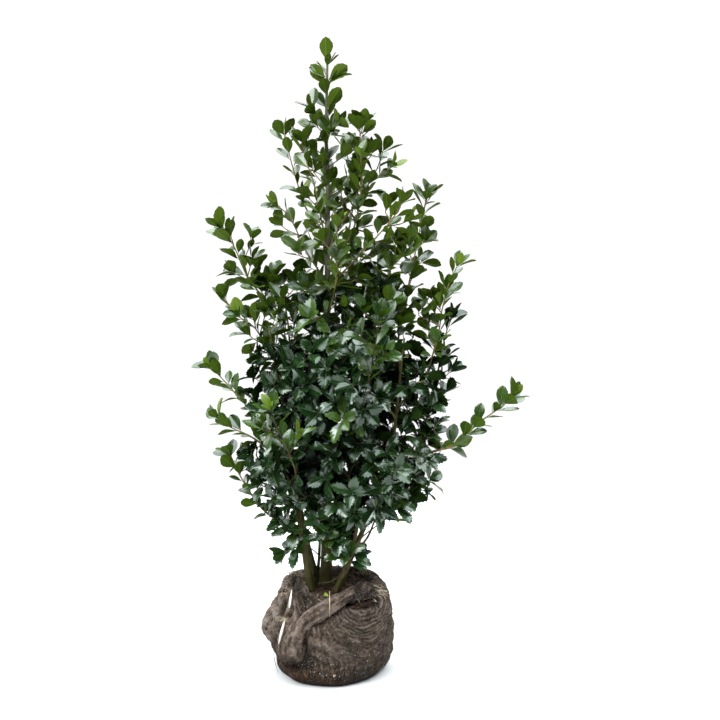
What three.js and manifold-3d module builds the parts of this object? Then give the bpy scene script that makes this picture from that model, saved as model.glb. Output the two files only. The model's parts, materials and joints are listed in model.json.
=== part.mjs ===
// A young multi-stemmed holly shrub standing on its wrapped root ball.
// Units are millimetres, +Z is up, and the origin is the middle of the ball's flat underside.
// The plant faces -Y. Every mass of leaves is one closed, uneven solid.
import * as THREE from 'three';
import { mergeVertices } from 'three/addons/utils/BufferGeometryUtils.js';
import Module from 'manifold-3d';

const wasm = await Module();
wasm.setup();

// ---------------------------------------------------------------- driving sizes
const GAP = 0.45;              // clearance kept between neighbouring solids
const BALL_RADIUS = 156;       // root ball at its waist
const BALL_FOOT = 124;         // radius of its flat underside
const BALL_WAIST = 112;        // height of the waist
const BALL_RIM = 222;          // height of the wrapped rim
const RIM_RADIUS = 108;        // radius of the rim's crest
const SOIL_RADIUS = 84;        // radius of the opening at the soil
const SOIL_LEVEL = 214;        // where the stems are cut flat
const LEADER_TOP = 1556;       // tip of the central stem
const LEADER_FOOT_R = 13.5;    // leader radius above the flare
const LEADER_TIP_R = 1.6;
const LEADER_FLARE = 0.45;     // extra radius at the foot, as a share
const STEM_SIDES = 8;
const BOUGH_SIDES = 6;

// ---------------------------------------------------------------- small helpers
const V = (x, y, z) => new THREE.Vector3(x, y, z);
const lerp = (a, b, t) => a + (b - a) * t;

function seeded(seed) {        // small repeatable number source
  let s = (seed * 2654435761) >>> 0;
  return () => {
    s = (s + 0x6d2b79f5) >>> 0;
    let t = Math.imul(s ^ (s >>> 15), 1 | s);
    t = (t + Math.imul(t ^ (t >>> 7), 61 | t)) ^ t;
    return ((t ^ (t >>> 14)) >>> 0) / 4294967296;
  };
}

// A curve from a to b that bows sideways by `bow` and sags or lifts by `lift` at mid length.
function arc(a, b, bow = 0, lift = 0) {
  const dir = b.clone().sub(a);
  const side = V(dir.y, -dir.x, 0);
  if (side.lengthSq() < 1e-6) side.set(1, 0, 0);
  side.normalize();
  const mid = a.clone().lerp(b, 0.5).addScaledVector(side, bow * 2).add(V(0, 0, lift * 2));
  return new THREE.QuadraticBezierCurve3(a, mid, b);
}

// Two axes square to the curve at t. The chord settles which way they face, so they never flip.
function squareAxes(curve, t) {
  const along = curve.getTangent(Math.min(Math.max(t, 0), 1)).normalize();
  const chord = curve.getPoint(1).sub(curve.getPoint(0)).normalize();
  const ref = Math.abs(chord.z) > 0.5 ? V(0, 1, 0) : V(0, 0, 1);
  const u = ref.clone().cross(along).normalize();
  const v = along.clone().cross(u).normalize();
  return [u, v];
}

function toSolid(geometry) {
  const g = geometry.index ? geometry.clone() : geometry;
  g.deleteAttribute('normal');
  g.deleteAttribute('uv');
  const m = mergeVertices(g, 1e-3);
  const tri = [];
  const ix = m.index.array;
  for (let i = 0; i < ix.length; i += 3) {
    const [a, b, c] = [ix[i], ix[i + 1], ix[i + 2]];
    if (a !== b && b !== c && a !== c) tri.push(a, b, c);
  }
  let solid = new wasm.Manifold(new wasm.Mesh({
    numProp: 3,
    vertProperties: new Float32Array(m.attributes.position.array),
    triVerts: new Uint32Array(tri),
  }));
  return solid;
}

function biggest(solid) {
  const bits = solid.decompose();
  bits.sort((p, q) => q.volume() - p.volume());
  return bits[0];
}

function toGeometry(solid) {
  const m = solid.getMesh();
  const g = new THREE.BufferGeometry();
  g.setAttribute('position', new THREE.BufferAttribute(new Float32Array(m.vertProperties), 3));
  g.setIndex(new THREE.BufferAttribute(new Uint32Array(m.triVerts), 1));
  g.computeVertexNormals();
  return g;
}

// ---------------------------------------------------------------- limbs
// A tapering round limb along a curve; `grow` fattens it for cutting clearances.
function limb(curve, r0, r1, { sides = BOUGH_SIDES, steps = 6, flare = 0, flareLength = 60, grow = 0 } = {}) {
  const g = new THREE.CylinderGeometry(1, 1, 1, sides, steps);
  const p = g.attributes.position;
  const length = curve.getLength();
  for (let i = 0; i < p.count; i++) {
    const t = p.getY(i) + 0.5;
    const rim = Math.hypot(p.getX(i), p.getZ(i));
    const angle = Math.atan2(p.getZ(i), p.getX(i));
    let r = lerp(r0, r1, t) * (1 + flare * Math.exp(-t * length / flareLength)) + grow;
    const at = curve.getPoint(t);
    if (grow > 0) {
      const along = curve.getTangent(t);
      if (t < 1e-6) at.addScaledVector(along, -grow);
      if (t > 1 - 1e-6) at.addScaledVector(along, grow);
    }
    // the foot of a standing limb is cut level
    const [u, v] = flare > 0 && t < 1e-6 ? [V(1, 0, 0), V(0, 1, 0)] : squareAxes(curve, t);
    const c = at.addScaledVector(u, rim * r * Math.cos(angle)).addScaledVector(v, -rim * r * Math.sin(angle));
    p.setXYZ(i, c.x, c.y, c.z);
  }
  let solid = toSolid(g);
  if (solid.volume() < 0) {
    const ix = [];
    const gi = g.index.array;
    for (let i = 0; i < gi.length; i += 3) ix.push(gi[i], gi[i + 2], gi[i + 1]);
    g.setIndex(ix);
    solid = toSolid(g);
  }
  return solid;
}

// ---------------------------------------------------------------- masses of leaves
// An uneven closed body round a bowed spine. `fat` is its half width, `flat` squashes
// it across, `early` moves its belly toward the foot and `rough` sets the lobes.
function leafMass({ from, to, bow = 0, lift = 0, fat, flat = 1, early = 0.5, blunt = 0.75, rough = 0.16, seed, sides = 8, rings = 6 }, grow = 0) {
  const rnd = seeded(seed);
  const lobes = [2, 3, 4].map(k => ({ k, a: rough * (0.5 + rnd()) / Math.sqrt(k), p: rnd() * 6.28, s: (rnd() - 0.5) * 7 }));
  const curve = arc(from, to, bow, lift);
  const g = new THREE.SphereGeometry(1, sides, rings);
  const p = g.attributes.position;
  for (let i = 0; i < p.count; i++) {
    const x = p.getX(i), y = p.getY(i), z = p.getZ(i);
    const t0 = 0.5 - Math.asin(Math.max(-1, Math.min(1, y))) / Math.PI;   // 0 at the first pole
    const t = 1 - t0;
    const angle = Math.atan2(z, x);
    const belly = Math.pow(t, Math.log(0.5) / Math.log(early));
    const profile = Math.pow(Math.max(Math.sin(Math.PI * belly), 0), blunt);
    let lobe = 1;
    for (const { k, a, p: ph, s } of lobes) lobe += a * Math.cos(k * angle + ph + s * t);
    const r = profile > 1e-6 ? fat * profile * Math.max(lobe, 0.5) + grow : 0;
    const tt = Math.min(Math.max(t, 0), 1);
    const at = curve.getPoint(tt);
    if (grow > 0 && profile <= 1e-6) at.addScaledVector(curve.getTangent(tt), t < 0.5 ? -grow * 1.5 : grow * 1.5);
    const [u, v] = squareAxes(curve, tt);
    at.addScaledVector(u, r * Math.cos(angle)).addScaledVector(v, -r * flat * Math.sin(angle));
    p.setXYZ(i, at.x, at.y, at.z);
  }
  let solid = toSolid(g);
  if (solid.volume() < 0) {
    const ix = [];
    const gi = g.index.array;
    for (let i = 0; i < gi.length; i += 3) ix.push(gi[i], gi[i + 2], gi[i + 1]);
    g.setIndex(ix);
    solid = toSolid(g);
  }
  return solid;
}

// ---------------------------------------------------------------- the root ball
// Turned from a profile, then given the lumps of a hand-tied sack.
function turned(profile, sides, lump, grow = 0) {
  const pts = profile.map(([r, z]) => new THREE.Vector2(r, z));
  const g = new THREE.LatheGeometry(pts, sides);
  const p = g.attributes.position;
  for (let i = 0; i < p.count; i++) {
    const x = p.getX(i), z = p.getY(i), y = -p.getZ(i);
    const a = Math.atan2(y, x);
    const r = Math.hypot(x, y);
    const k = r > 1e-6 ? 1 + lump(a, z) : 1;
    const rr = r > 1e-6 ? r * k + grow : 0;
    p.setXYZ(i, rr * Math.cos(a), rr * Math.sin(a), z);
  }
  let solid = toSolid(g);
  if (solid.volume() < 0) {
    const ix = [];
    const gi = g.index.array;
    for (let i = 0; i < gi.length; i += 3) ix.push(gi[i], gi[i + 2], gi[i + 1]);
    g.setIndex(ix);
    solid = toSolid(g);
  }
  return solid;
}

const ballLump = (a, z) => {
  const h = z / BALL_RIM;
  return 0.028 * Math.cos(a) * h + 0.022 * Math.sin(3 * a + 0.6 + 1.8 * h) + 0.018 * Math.cos(5 * a - 1.1 - 2.2 * h)
    + 0.012 * Math.sin(8 * a + 4 * h) + 0.03 * Math.exp(-Math.pow((Math.cos(a - 3.0) - 1) * 4, 2)) * Math.sin(Math.PI * Math.min(h, 1));
};

const ballProfile = [
  [0, 0], [BALL_FOOT, 0], [BALL_FOOT + 17, 22], [BALL_RADIUS - 5, 66], [BALL_RADIUS, BALL_WAIST],
  [BALL_RADIUS - 4, 152], [BALL_RADIUS - 19, 190], [RIM_RADIUS + 10, BALL_RIM - 8], [RIM_RADIUS - 3, BALL_RIM],
  [SOIL_RADIUS + 8, BALL_RIM - 7], [SOIL_RADIUS, SOIL_LEVEL - 14], [0, SOIL_LEVEL - 14],
];
const rootBall = turned(ballProfile, 22, ballLump);
const rootBallFat = turned(ballProfile.map(([r, z]) => [r, z > 1 ? z + GAP : -GAP]), 22, ballLump, GAP * 1.6);

const soilProfile = [
  [0, SOIL_LEVEL - 14 + GAP], [SOIL_RADIUS - 2.2, SOIL_LEVEL - 14 + GAP], [SOIL_RADIUS - 1.8, SOIL_LEVEL - 5],
  [SOIL_RADIUS - 10, SOIL_LEVEL - GAP], [0, SOIL_LEVEL - GAP],
];
const soil = turned(soilProfile, 22, ballLump);

// A rolled fold of sacking that lies on the ball between two bearings and two heights.
function sackRoll({ fromBearing, toBearing, fromZ, toZ, fromR, toR, arch, fat, taper = 0.6 }) {
  const pts = [];
  for (let i = 0; i <= 8; i++) {
    const t = i / 8;
    const a = THREE.MathUtils.degToRad(lerp(fromBearing, toBearing, t));
    const z = lerp(fromZ, toZ, t) + arch * Math.sin(Math.PI * t);
    const r = lerp(fromR, toR, t) + arch * 0.18 * Math.sin(Math.PI * t);
    pts.push(V(r * Math.cos(a), r * Math.sin(a), z));
  }
  const curve = new THREE.CatmullRomCurve3(pts);
  return limb(curve, fat, fat * taper, { sides: 7, steps: 9 });
}
const rollFront = sackRoll({ fromBearing: -121, toBearing: -32, fromZ: 80, toZ: 223, fromR: 150, toR: 113, arch: 42, fat: 15, taper: 0.7 });
const rollLeft = sackRoll({ fromBearing: -172, toBearing: -122, fromZ: 214, toZ: 172, fromR: 122, toR: 142, arch: 14, fat: 11, taper: 0.8 });

// ---------------------------------------------------------------- stems from the ground
// name: [foot x, foot y], tip, bow, lift, foot radius, tip radius
const stems = {
  trunk: { foot: [-5, 0], tip: V(-2, 0, LEADER_TOP), bow: -5, lift: 0, r0: LEADER_FOOT_R, r1: LEADER_TIP_R, flare: LEADER_FLARE, steps: 12 },
  stem_left_front: { foot: [-44, -42], tip: V(-98, -44, 520), bow: -9, lift: 0, r0: 9.0, r1: 6.5, flare: 0.35, steps: 5 },
  stem_left_back: { foot: [-36, 24], tip: V(-88, 44, 500), bow: -14, lift: 0, r0: 7.0, r1: 5.0, flare: 0.3, steps: 5 },
  stem_right_front: { foot: [20, -58], tip: V(118, -92, 470), bow: 6, lift: 0, r0: 8.0, r1: 5.0, flare: 0.35, steps: 5 },
  stem_right_back: { foot: [34, 34], tip: V(78, 62, 500), bow: 8, lift: 0, r0: 7.5, r1: 5.5, flare: 0.3, steps: 5 },
};
const stemCurve = ({ foot, tip, bow, lift }) => arc(V(foot[0], foot[1], SOIL_LEVEL), tip, bow, lift);
const stemSolid = (s, grow = 0) => limb(stemCurve(s), s.r0, s.r1, { sides: STEM_SIDES, steps: s.steps, flare: s.flare, grow });
const stub = { foot: [-32, -20], tip: V(-42, -26, 246), bow: 0, lift: 0, r0: 5.2, r1: 4.4, flare: 0.2, steps: 2 };

// ---------------------------------------------------------------- the leaf masses
// Spire round the leader, upright shoots, side shoots, then the body in tiers.
const masses = {
  leaves_tip: { from: V(-4, 0, 1404), to: V(-4, -2, 1568), fat: 49, early: 0.5, blunt: 0.85, rough: 0.14, sides: 8, rings: 6 },
  leaves_spire_upper: { from: V(-6, 0, 1256), to: V(-6, 0, 1446), fat: 41, early: 0.52, blunt: 0.45, rough: 0.16 },
  leaves_spire_lower: { from: V(-8, 0, 1070), to: V(-4, 0, 1276), fat: 52, early: 0.42, blunt: 0.5, rough: 0.2 },
  leaves_top_left_inner: { from: V(-30, -26, 1110), to: V(-84, -34, 1366), bow: -10, fat: 35, early: 0.5, blunt: 0.6 },
  leaves_top_left_outer: { from: V(-54, 26, 1130), to: V(-122, 30, 1388), bow: 6, lift: 6, fat: 29, early: 0.6, blunt: 0.7 },
  leaves_top_left_side: { from: V(-56, -40, 1076), to: V(-156, -50, 1198), bow: -6, lift: 8, fat: 34, early: 0.55, blunt: 0.6 },
  leaves_top_right_inner: { from: V(58, 34, 1080), to: V(36, 42, 1374), bow: 6, fat: 31, early: 0.5, blunt: 0.6 },
  leaves_top_right_middle: { from: V(70, -34, 1100), to: V(90, -42, 1394), bow: -4, fat: 34, early: 0.55, blunt: 0.6 },
  leaves_top_right_outer: { from: V(94, 16, 1140), to: V(158, 24, 1350), bow: 6, lift: 6, fat: 33, early: 0.5, blunt: 0.62 },
  leaves_top_right_side: { from: V(92, -70, 1010), to: V(182, -84, 1214), bow: 8, fat: 36, early: 0.5, blunt: 0.6 },
  leaves_top_back: { from: V(-6, 90, 990), to: V(-20, 158, 1290), bow: 10, fat: 48, early: 0.45, blunt: 0.6 },
  leaves_top_front: { from: V(14, -90, 950), to: V(20, -136, 1150), bow: -8, fat: 42, early: 0.45, blunt: 0.6 },
  leaves_left_big: { from: V(-152, 0, 892), to: V(-314, -4, 1130), bow: -14, lift: 20, fat: 41, early: 0.5, blunt: 0.55 },
  leaves_left_upper: { from: V(-158, -36, 808), to: V(-290, -44, 990), bow: 12, lift: 14, fat: 33, early: 0.5, blunt: 0.6 },
  leaves_left_middle: { from: V(-200, 14, 656), to: V(-350, 22, 780), bow: 14, lift: 17, fat: 34, early: 0.52, blunt: 0.6 },
  leaves_left_lower: { from: V(-204, -54, 594), to: V(-312, -64, 676), bow: -4, lift: 6, fat: 32, early: 0.55, blunt: 0.6 },
  leaves_low_left_reach: { from: V(-172, -34, 420), to: V(-304, -34, 580), bow: 10, lift: 8, fat: 36, early: 0.52, blunt: 0.55 },
  leaves_right_tall: { from: V(178, 26, 866), to: V(250, 34, 1246), bow: 8, lift: 6, fat: 36, early: 0.5, blunt: 0.5, rings: 7 },
  leaves_right_outer: { from: V(226, -26, 800), to: V(338, -34, 1072), bow: 10, lift: 14, fat: 39, early: 0.48, blunt: 0.5 },
  leaves_right_edge: { from: V(244, 26, 596), to: V(326, 34, 912), bow: -6, lift: -6, fat: 50, early: 0.48, blunt: 0.5 },
  leaves_right_long_near: { from: V(262, -46, 556), to: V(392, -58, 674), bow: 10, lift: 2, fat: 41, early: 0.45, blunt: 0.6 },
  leaves_right_long_tip: { from: V(400, -56, 662), to: V(476, -62, 752), bow: 6, fat: 31, early: 0.5, blunt: 0.65 },
  leaves_low_right_reach: { from: V(110, -58, 384), to: V(208, -56, 438), bow: 6, fat: 24, early: 0.5, blunt: 0.7 },
  leaves_low_middle: { from: V(-14, -64, 284), to: V(38, -62, 420), bow: 8, fat: 34, early: 0.55, blunt: 0.6 },
  leaves_low_left: { from: V(-98, -38, 270), to: V(-140, -32, 424), bow: -6, fat: 29, early: 0.6, blunt: 0.65 },
  leaves_low_right_foot: { from: V(62, -20, 262), to: V(104, -22, 330), bow: 4, fat: 26, early: 0.5, blunt: 0.7, rings: 5 },
  leaves_back_left: { from: V(-96, 178, 700), to: V(-170, 302, 930), bow: 10, lift: 14, fat: 44, early: 0.5, blunt: 0.55 },
  leaves_back_right: { from: V(126, 176, 610), to: V(186, 296, 800), bow: 8, lift: 12, fat: 44, early: 0.5, blunt: 0.55 },
  leaves_front_left: { from: V(-82, -186, 560), to: V(-128, -292, 716), bow: 8, lift: 12, fat: 40, early: 0.5, blunt: 0.55 },
  leaves_front_right: { from: V(98, -184, 740), to: V(140, -284, 930), bow: 6, lift: 12, fat: 42, early: 0.5, blunt: 0.55 },
};

// The body: rings of big lobes round the leader, each tier with its own reach and count.
const tiers = [
  { name: 'low', z0: 402, z1: 642, count: 4, reach: 138, fat: 112, turn: 38, lean: 22, shift: [16, 0], deep: 0.74 },
  { name: 'middle', z0: 612, z1: 850, count: 5, reach: 124, fat: 118, turn: 55, lean: 30, shift: [22, 0], deep: 0.86 },
  { name: 'high', z0: 820, z1: 1012, count: 3, reach: 90, fat: 98, turn: 92, lean: 34, shift: [32, 0], deep: 0.9 },
  { name: 'top', z0: 962, z1: 1122, count: 2, reach: 56, fat: 62, turn: 5, lean: 26, shift: [30, 0], deep: 0.9 },
];
for (const { name, z0, z1, count, reach, fat, turn, lean, shift, deep } of tiers) {
  for (let i = 0; i < count; i++) {
    const rnd = seeded(z0 * 7 + i * 31 + 5);
    const a = THREE.MathUtils.degToRad(turn + (360 / count) * (i + 0.25 * (rnd() - 0.5)));
    const out = reach * (0.9 + 0.2 * rnd());
    const dz = (rnd() - 0.5) * 26;
    const x = shift[0] + out * Math.cos(a), y = shift[1] + deep * out * Math.sin(a);
    masses[`leaves_${name}_${i + 1}`] = {
      from: V(x - lean * 0.5 * Math.cos(a), y - lean * 0.5 * Math.sin(a), z0 + dz),
      to: V(x + lean * Math.cos(a), y + lean * Math.sin(a), z1 + dz),
      fat: fat * (0.92 + 0.16 * rnd()), early: 0.5, blunt: 0.5, rough: 0.15, sides: 10, rings: 7,
    };
  }
}
let seedNumber = 11;
for (const m of Object.values(masses)) m.seed = seedNumber++;

// ---------------------------------------------------------------- open boughs
// Bare limbs seen between the body and an outlying mass. Each runs from inside the body to
// inside its mass, and is cut back to where it leaves the one and enters the other.
const boughs = {
  bough_left_middle: { from: V(-120, 8, 580), to: V(-236, 15, 700), bow: 7, r0: 4.6, r1: 3.4 },
  bough_left_lower: { from: V(-120, -50, 560), to: V(-240, -57, 622), bow: 4, r0: 4.0, r1: 3.0 },
  bough_low_left: { from: V(-88, -41, 384), to: V(-210, -36, 470), bow: 22, r0: 4.4, r1: 3.0 },
  bough_right_long: { from: V(150, -38, 566), to: V(296, -50, 590), bow: 4, r0: 5.0, r1: 4.2 },
  bough_right_long_tip: { from: V(350, -54, 640), to: V(424, -58, 690), bow: 3, r0: 3.6, r1: 2.8 },
  bough_low_right: { from: V(76, -78, 340), to: V(140, -58, 402), bow: 4, r0: 3.8, r1: 3.0 },
};

// ---------------------------------------------------------------- cutting the parts apart
const built = {};
built.root_ball = rootBall;
built.soil_top = soil;
built.sack_roll_front = biggest(rollFront.subtract(rootBallFat));
built.sack_roll_left = biggest(rollLeft.subtract(rootBallFat));

let stemsFat = null;
const addFat = (all, s) => (all ? all.add(s) : s);
for (const [name, s] of Object.entries({ ...stems, pruned_stub: stub })) {
  let solid = stemSolid(s);
  if (stemsFat) solid = biggest(solid.subtract(stemsFat));
  built[name] = solid;
  stemsFat = addFat(stemsFat, stemSolid(s, GAP));
}

// masses: the outlying ones keep their whole shape, later ones give way to earlier ones
const trunkFat = stemSolid(stems.trunk, GAP);
const fatMasses = {};
const done = [];
for (const [name, m] of Object.entries(masses)) {
  let solid = leafMass(m);
  const box = solid.boundingBox();
  const meets = b => b.min[0] < box.max[0] && b.max[0] > box.min[0] && b.min[1] < box.max[1]
    && b.max[1] > box.min[1] && b.min[2] < box.max[2] && b.max[2] > box.min[2];
  for (const other of done) {
    if (meets(fatMasses[other].boundingBox())) solid = solid.subtract(fatMasses[other]);
  }
  if (meets(trunkFat.boundingBox())) solid = solid.subtract(trunkFat);
  built[name] = biggest(solid);
  fatMasses[name] = leafMass(m, GAP * 1.4);
  done.push(name);
}

// stems other than the leader end where they enter the leaves, and so do the boughs
let leavesFat = null;
for (const name of done) leavesFat = addFat(leavesFat, fatMasses[name]);
for (const name of Object.keys(stems)) {
  if (name !== 'trunk') built[name] = lowest(built[name].subtract(leavesFat));
}
built.pruned_stub = biggest(built.pruned_stub.subtract(leavesFat));
for (const [name, b] of Object.entries(boughs)) {
  const solid = limb(arc(b.from, b.to, b.bow, 0), b.r0, b.r1, { steps: 4 });
  const rest = solid.subtract(leavesFat).subtract(stemsFat);
  if (!rest.isEmpty()) built[name] = biggest(rest);
}

function lowest(solid) {       // the piece that stands on the ground
  const bits = solid.decompose();
  bits.sort((p, q) => p.boundingBox().min[2] - q.boundingBox().min[2]);
  return bits[0];
}

// ---------------------------------------------------------------- the scene graph
const looks = {
  sack: { color: 0x6f6353, roughness: 0.95 },
  soil: { color: 0x2b1d17, roughness: 1.0 },
  bark: { color: 0x6b6f5c, roughness: 0.8 },
  leaf: { color: 0x2f4a2c, roughness: 0.4 },
  youngLeaf: { color: 0x5d7a3a, roughness: 0.45 },
};
function lookOf(name) {
  if (name.startsWith('sack') || name === 'root_ball') return looks.sack;
  if (name === 'soil_top') return looks.soil;
  if (!name.startsWith('leaves')) return looks.bark;
  return /tip|spire|top_/.test(name) ? looks.youngLeaf : looks.leaf;
}

const group = new THREE.Group();
const ball = new THREE.Group(), wood = new THREE.Group(), foliage = new THREE.Group();
group.add(ball, wood, foliage);
for (const [name, solid] of Object.entries(built)) {
  const look = lookOf(name);
  const mesh = new THREE.Mesh(toGeometry(solid), new THREE.MeshStandardMaterial({ color: look.color, roughness: look.roughness, metalness: 0 }));
  mesh.name = name;
  (look === looks.sack || look === looks.soil ? ball : name.startsWith('leaves') ? foliage : wood).add(mesh);
}

export default group;
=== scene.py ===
# A root-balled holly shrub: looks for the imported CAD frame.
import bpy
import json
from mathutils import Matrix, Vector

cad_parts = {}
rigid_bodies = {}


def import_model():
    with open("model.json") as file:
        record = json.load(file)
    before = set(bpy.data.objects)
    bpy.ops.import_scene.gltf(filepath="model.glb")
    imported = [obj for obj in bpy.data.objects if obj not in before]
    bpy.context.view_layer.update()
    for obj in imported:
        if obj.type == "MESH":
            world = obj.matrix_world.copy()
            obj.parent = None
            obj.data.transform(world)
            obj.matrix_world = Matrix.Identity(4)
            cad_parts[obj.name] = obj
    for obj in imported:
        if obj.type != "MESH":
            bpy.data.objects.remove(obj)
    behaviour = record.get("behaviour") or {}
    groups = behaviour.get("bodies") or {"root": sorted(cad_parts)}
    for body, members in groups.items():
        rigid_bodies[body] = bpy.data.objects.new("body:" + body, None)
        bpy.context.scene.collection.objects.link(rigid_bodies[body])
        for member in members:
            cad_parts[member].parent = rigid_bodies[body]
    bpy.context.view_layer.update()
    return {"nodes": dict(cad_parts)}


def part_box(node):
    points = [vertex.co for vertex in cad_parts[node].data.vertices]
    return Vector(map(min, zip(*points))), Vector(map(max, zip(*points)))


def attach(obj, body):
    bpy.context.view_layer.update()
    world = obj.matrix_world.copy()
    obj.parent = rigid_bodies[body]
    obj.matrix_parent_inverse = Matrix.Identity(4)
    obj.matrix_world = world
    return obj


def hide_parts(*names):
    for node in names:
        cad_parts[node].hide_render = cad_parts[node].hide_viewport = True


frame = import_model()

import json
import math

import bpy
import numpy as np
from mathutils import Vector
from mathutils.bvhtree import BVHTree

MM = 0.001
UP = np.array([0.0, 0.0, 1.0])
SOIL = 0.214

# =====================================================================================
# camera, light, floor
# =====================================================================================
scene = bpy.context.scene
cam_data = bpy.data.cameras.new("camera")
cam_data.lens = 57.5
cam_data.sensor_width = 36.0
cam_data.sensor_fit = 'HORIZONTAL'
cam_data.clip_start = 0.05
cam_data.clip_end = 60.0
cam = bpy.data.objects.new("camera", cam_data)
cam.location = (0.0778, -2.84, 1.0)
cam.rotation_euler = (math.radians(90 - 4.425), 0, 0)
scene.collection.objects.link(cam)
scene.camera = cam
scene.view_settings.view_transform = 'Standard'
scene.view_settings.look = 'None'

world = bpy.data.worlds.new("studio")
scene.world = world
world.use_nodes = True
wt = world.node_tree
bg = wt.nodes["Background"]
wc = wt.nodes.new("ShaderNodeTexCoord")
wz = wt.nodes.new("ShaderNodeSeparateXYZ")
wt.links.new(wc.outputs["Generated"], wz.inputs[0])
STRENGTH = 6.5
WHITE = 1.09 / STRENGTH
# overcast sky by height: bright overhead; the low band is white behind the plant and dim behind the camera
SKY_BEHIND_PLANT = [(0.0, WHITE), (0.25, WHITE), (0.40, 0.22), (0.60, 0.33), (0.74, 0.66), (0.88, 1.0)]
SKY_BEHIND_CAMERA = [(0.0, 0.006), (0.02, 0.006), (0.20, 0.008), (0.40, 0.010), (0.56, 0.02), (0.66, 0.80), (0.86, 1.0)]
sides = []
for sky in (SKY_BEHIND_PLANT, SKY_BEHIND_CAMERA):
    wr = wt.nodes.new("ShaderNodeValToRGB")
    wt.links.new(wz.outputs["Z"], wr.inputs[0])
    wr.color_ramp.interpolation = 'EASE'
    while len(wr.color_ramp.elements) < len(sky):
        wr.color_ramp.elements.new(0.5)
    for e, (pos, val) in zip(wr.color_ramp.elements, sky):
        e.position = pos
        e.color = (val * (0.92 if pos > 0.4 else 1.0), val * (0.972 if pos > 0.4 else 1.0), val, 1)
    sides.append(wr)
wy = wt.nodes.new("ShaderNodeMath")
wy.operation = 'MULTIPLY_ADD'
wy.inputs[1].default_value = 0.5
wy.inputs[2].default_value = 0.5
wt.links.new(wz.outputs["Y"], wy.inputs[0])
wf = wt.nodes.new("ShaderNodeValToRGB")
wf.color_ramp.interpolation = 'EASE'
wf.color_ramp.elements[0].position = 0.52
wf.color_ramp.elements[0].color = (1, 1, 1, 1)
wf.color_ramp.elements[1].position = 0.70
wf.color_ramp.elements[1].color = (0, 0, 0, 1)
wt.links.new(wy.outputs[0], wf.inputs[0])
wm = wt.nodes.new("ShaderNodeMix")
wm.data_type = 'RGBA'
wt.links.new(wf.outputs[0], wm.inputs[0])
wt.links.new(sides[0].outputs[0], wm.inputs[6])
wt.links.new(sides[1].outputs[0], wm.inputs[7])
wt.links.new(wm.outputs[2], bg.inputs["Color"])
bg.inputs["Strength"].default_value = STRENGTH


def area_light(name, loc, target, size, power, color=(1, 1, 1)):
    d = bpy.data.lights.new(name, 'AREA')
    d.shape = 'RECTANGLE'
    d.size, d.size_y = size
    d.energy = power
    d.color = color
    o = bpy.data.objects.new(name, d)
    o.location = loc
    o.rotation_euler = (Vector(target) - Vector(loc)).to_track_quat('-Z', 'Y').to_euler()
    scene.collection.objects.link(o)
    return o


area_light("key_softbox", (-2.1, -2.2, 2.9), (0, 0, 0.6), (1.6, 1.2), 80, (0.985, 0.99, 1.0))

# =====================================================================================
# number helpers
# =====================================================================================


def norm(v):
    v = np.asarray(v, float)
    n = np.linalg.norm(v, axis=-1, keepdims=True)
    return v / np.maximum(n, 1e-12)


def hash01(ix, iy, iz, seed):
    h = (ix * 374761393 + iy * 668265263 + iz * 2147483647 + seed * 144665) & 0xFFFFFFFF
    h = ((h ^ (h >> 13)) * 1274126177) & 0xFFFFFFFF
    h = (h ^ (h >> 16)) & 0xFFFFFFFF
    return h / 4294967295.0


def vnoise(p, freq, seed=0):
    """Smooth lattice noise in -1..1 at points p (n, 3)."""
    q = np.asarray(p, float) * freq + 1000.0
    i = np.floor(q).astype(np.int64)
    f = q - i
    f = f * f * (3 - 2 * f)
    out = 0.0
    for dx in (0, 1):
        wx = f[:, 0] if dx else 1 - f[:, 0]
        for dy in (0, 1):
            wy = f[:, 1] if dy else 1 - f[:, 1]
            for dz in (0, 1):
                wz = f[:, 2] if dz else 1 - f[:, 2]
                out = out + wx * wy * wz * hash01(i[:, 0] + dx, i[:, 1] + dy, i[:, 2] + dz, seed)
    return out * 2 - 1


def fbm(p, freq, octaves=4, seed=0, gain=0.5):
    a, s, tot = 1.0, 0.0, 0.0
    for o in range(octaves):
        s = s + a * vnoise(p, freq * 2 ** o, seed + 17 * o)
        tot += a
        a *= gain
    return s / tot


def bezier3(a, m, b, n):
    t = np.linspace(0, 1, n)[:, None]
    a, m, b = (np.asarray(v, float) for v in (a, m, b))
    return (1 - t) ** 2 * a + 2 * t * (1 - t) * m + t * t * b


def arc(a, b, bow=0.0, lift=0.0, n=16):
    """The bowed curve that the CAD limbs and masses follow (millimetres in, metres out)."""
    a, b = np.asarray(a, float), np.asarray(b, float)
    d = b - a
    side = np.array([d[1], -d[0], 0.0])
    side = np.array([1.0, 0, 0]) if side @ side < 1e-6 else side / np.linalg.norm(side)
    m = (a + b) / 2 + side * bow * 2 + np.array([0, 0, lift * 2.0])
    return bezier3(a, m, b, n) * MM


def hermite(p0, t0, p1, t1, n):
    t = np.linspace(0, 1, n)[:, None]
    return ((2 * t ** 3 - 3 * t ** 2 + 1) * p0 + (t ** 3 - 2 * t ** 2 + t) * t0
            + (-2 * t ** 3 + 3 * t ** 2) * p1 + (t ** 3 - t ** 2) * t1)


def catmull(pts, per=8):
    p = np.asarray(pts, float)
    p = np.vstack([2 * p[0] - p[1], p, 2 * p[-1] - p[-2]])
    out = []
    for i in range(1, len(p) - 2):
        t = np.linspace(0, 1, per, endpoint=False)[:, None]
        a, b, c, d = p[i - 1], p[i], p[i + 1], p[i + 2]
        out.append(0.5 * ((2 * b) + (c - a) * t + (2 * a - 5 * b + 4 * c - d) * t ** 2 + (3 * b - a - 3 * c + d) * t ** 3))
    out.append(p[-2][None])
    return np.vstack(out)


def arclen(p):
    return np.concatenate([[0], np.cumsum(np.linalg.norm(np.diff(p, axis=0), axis=1))])


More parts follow.
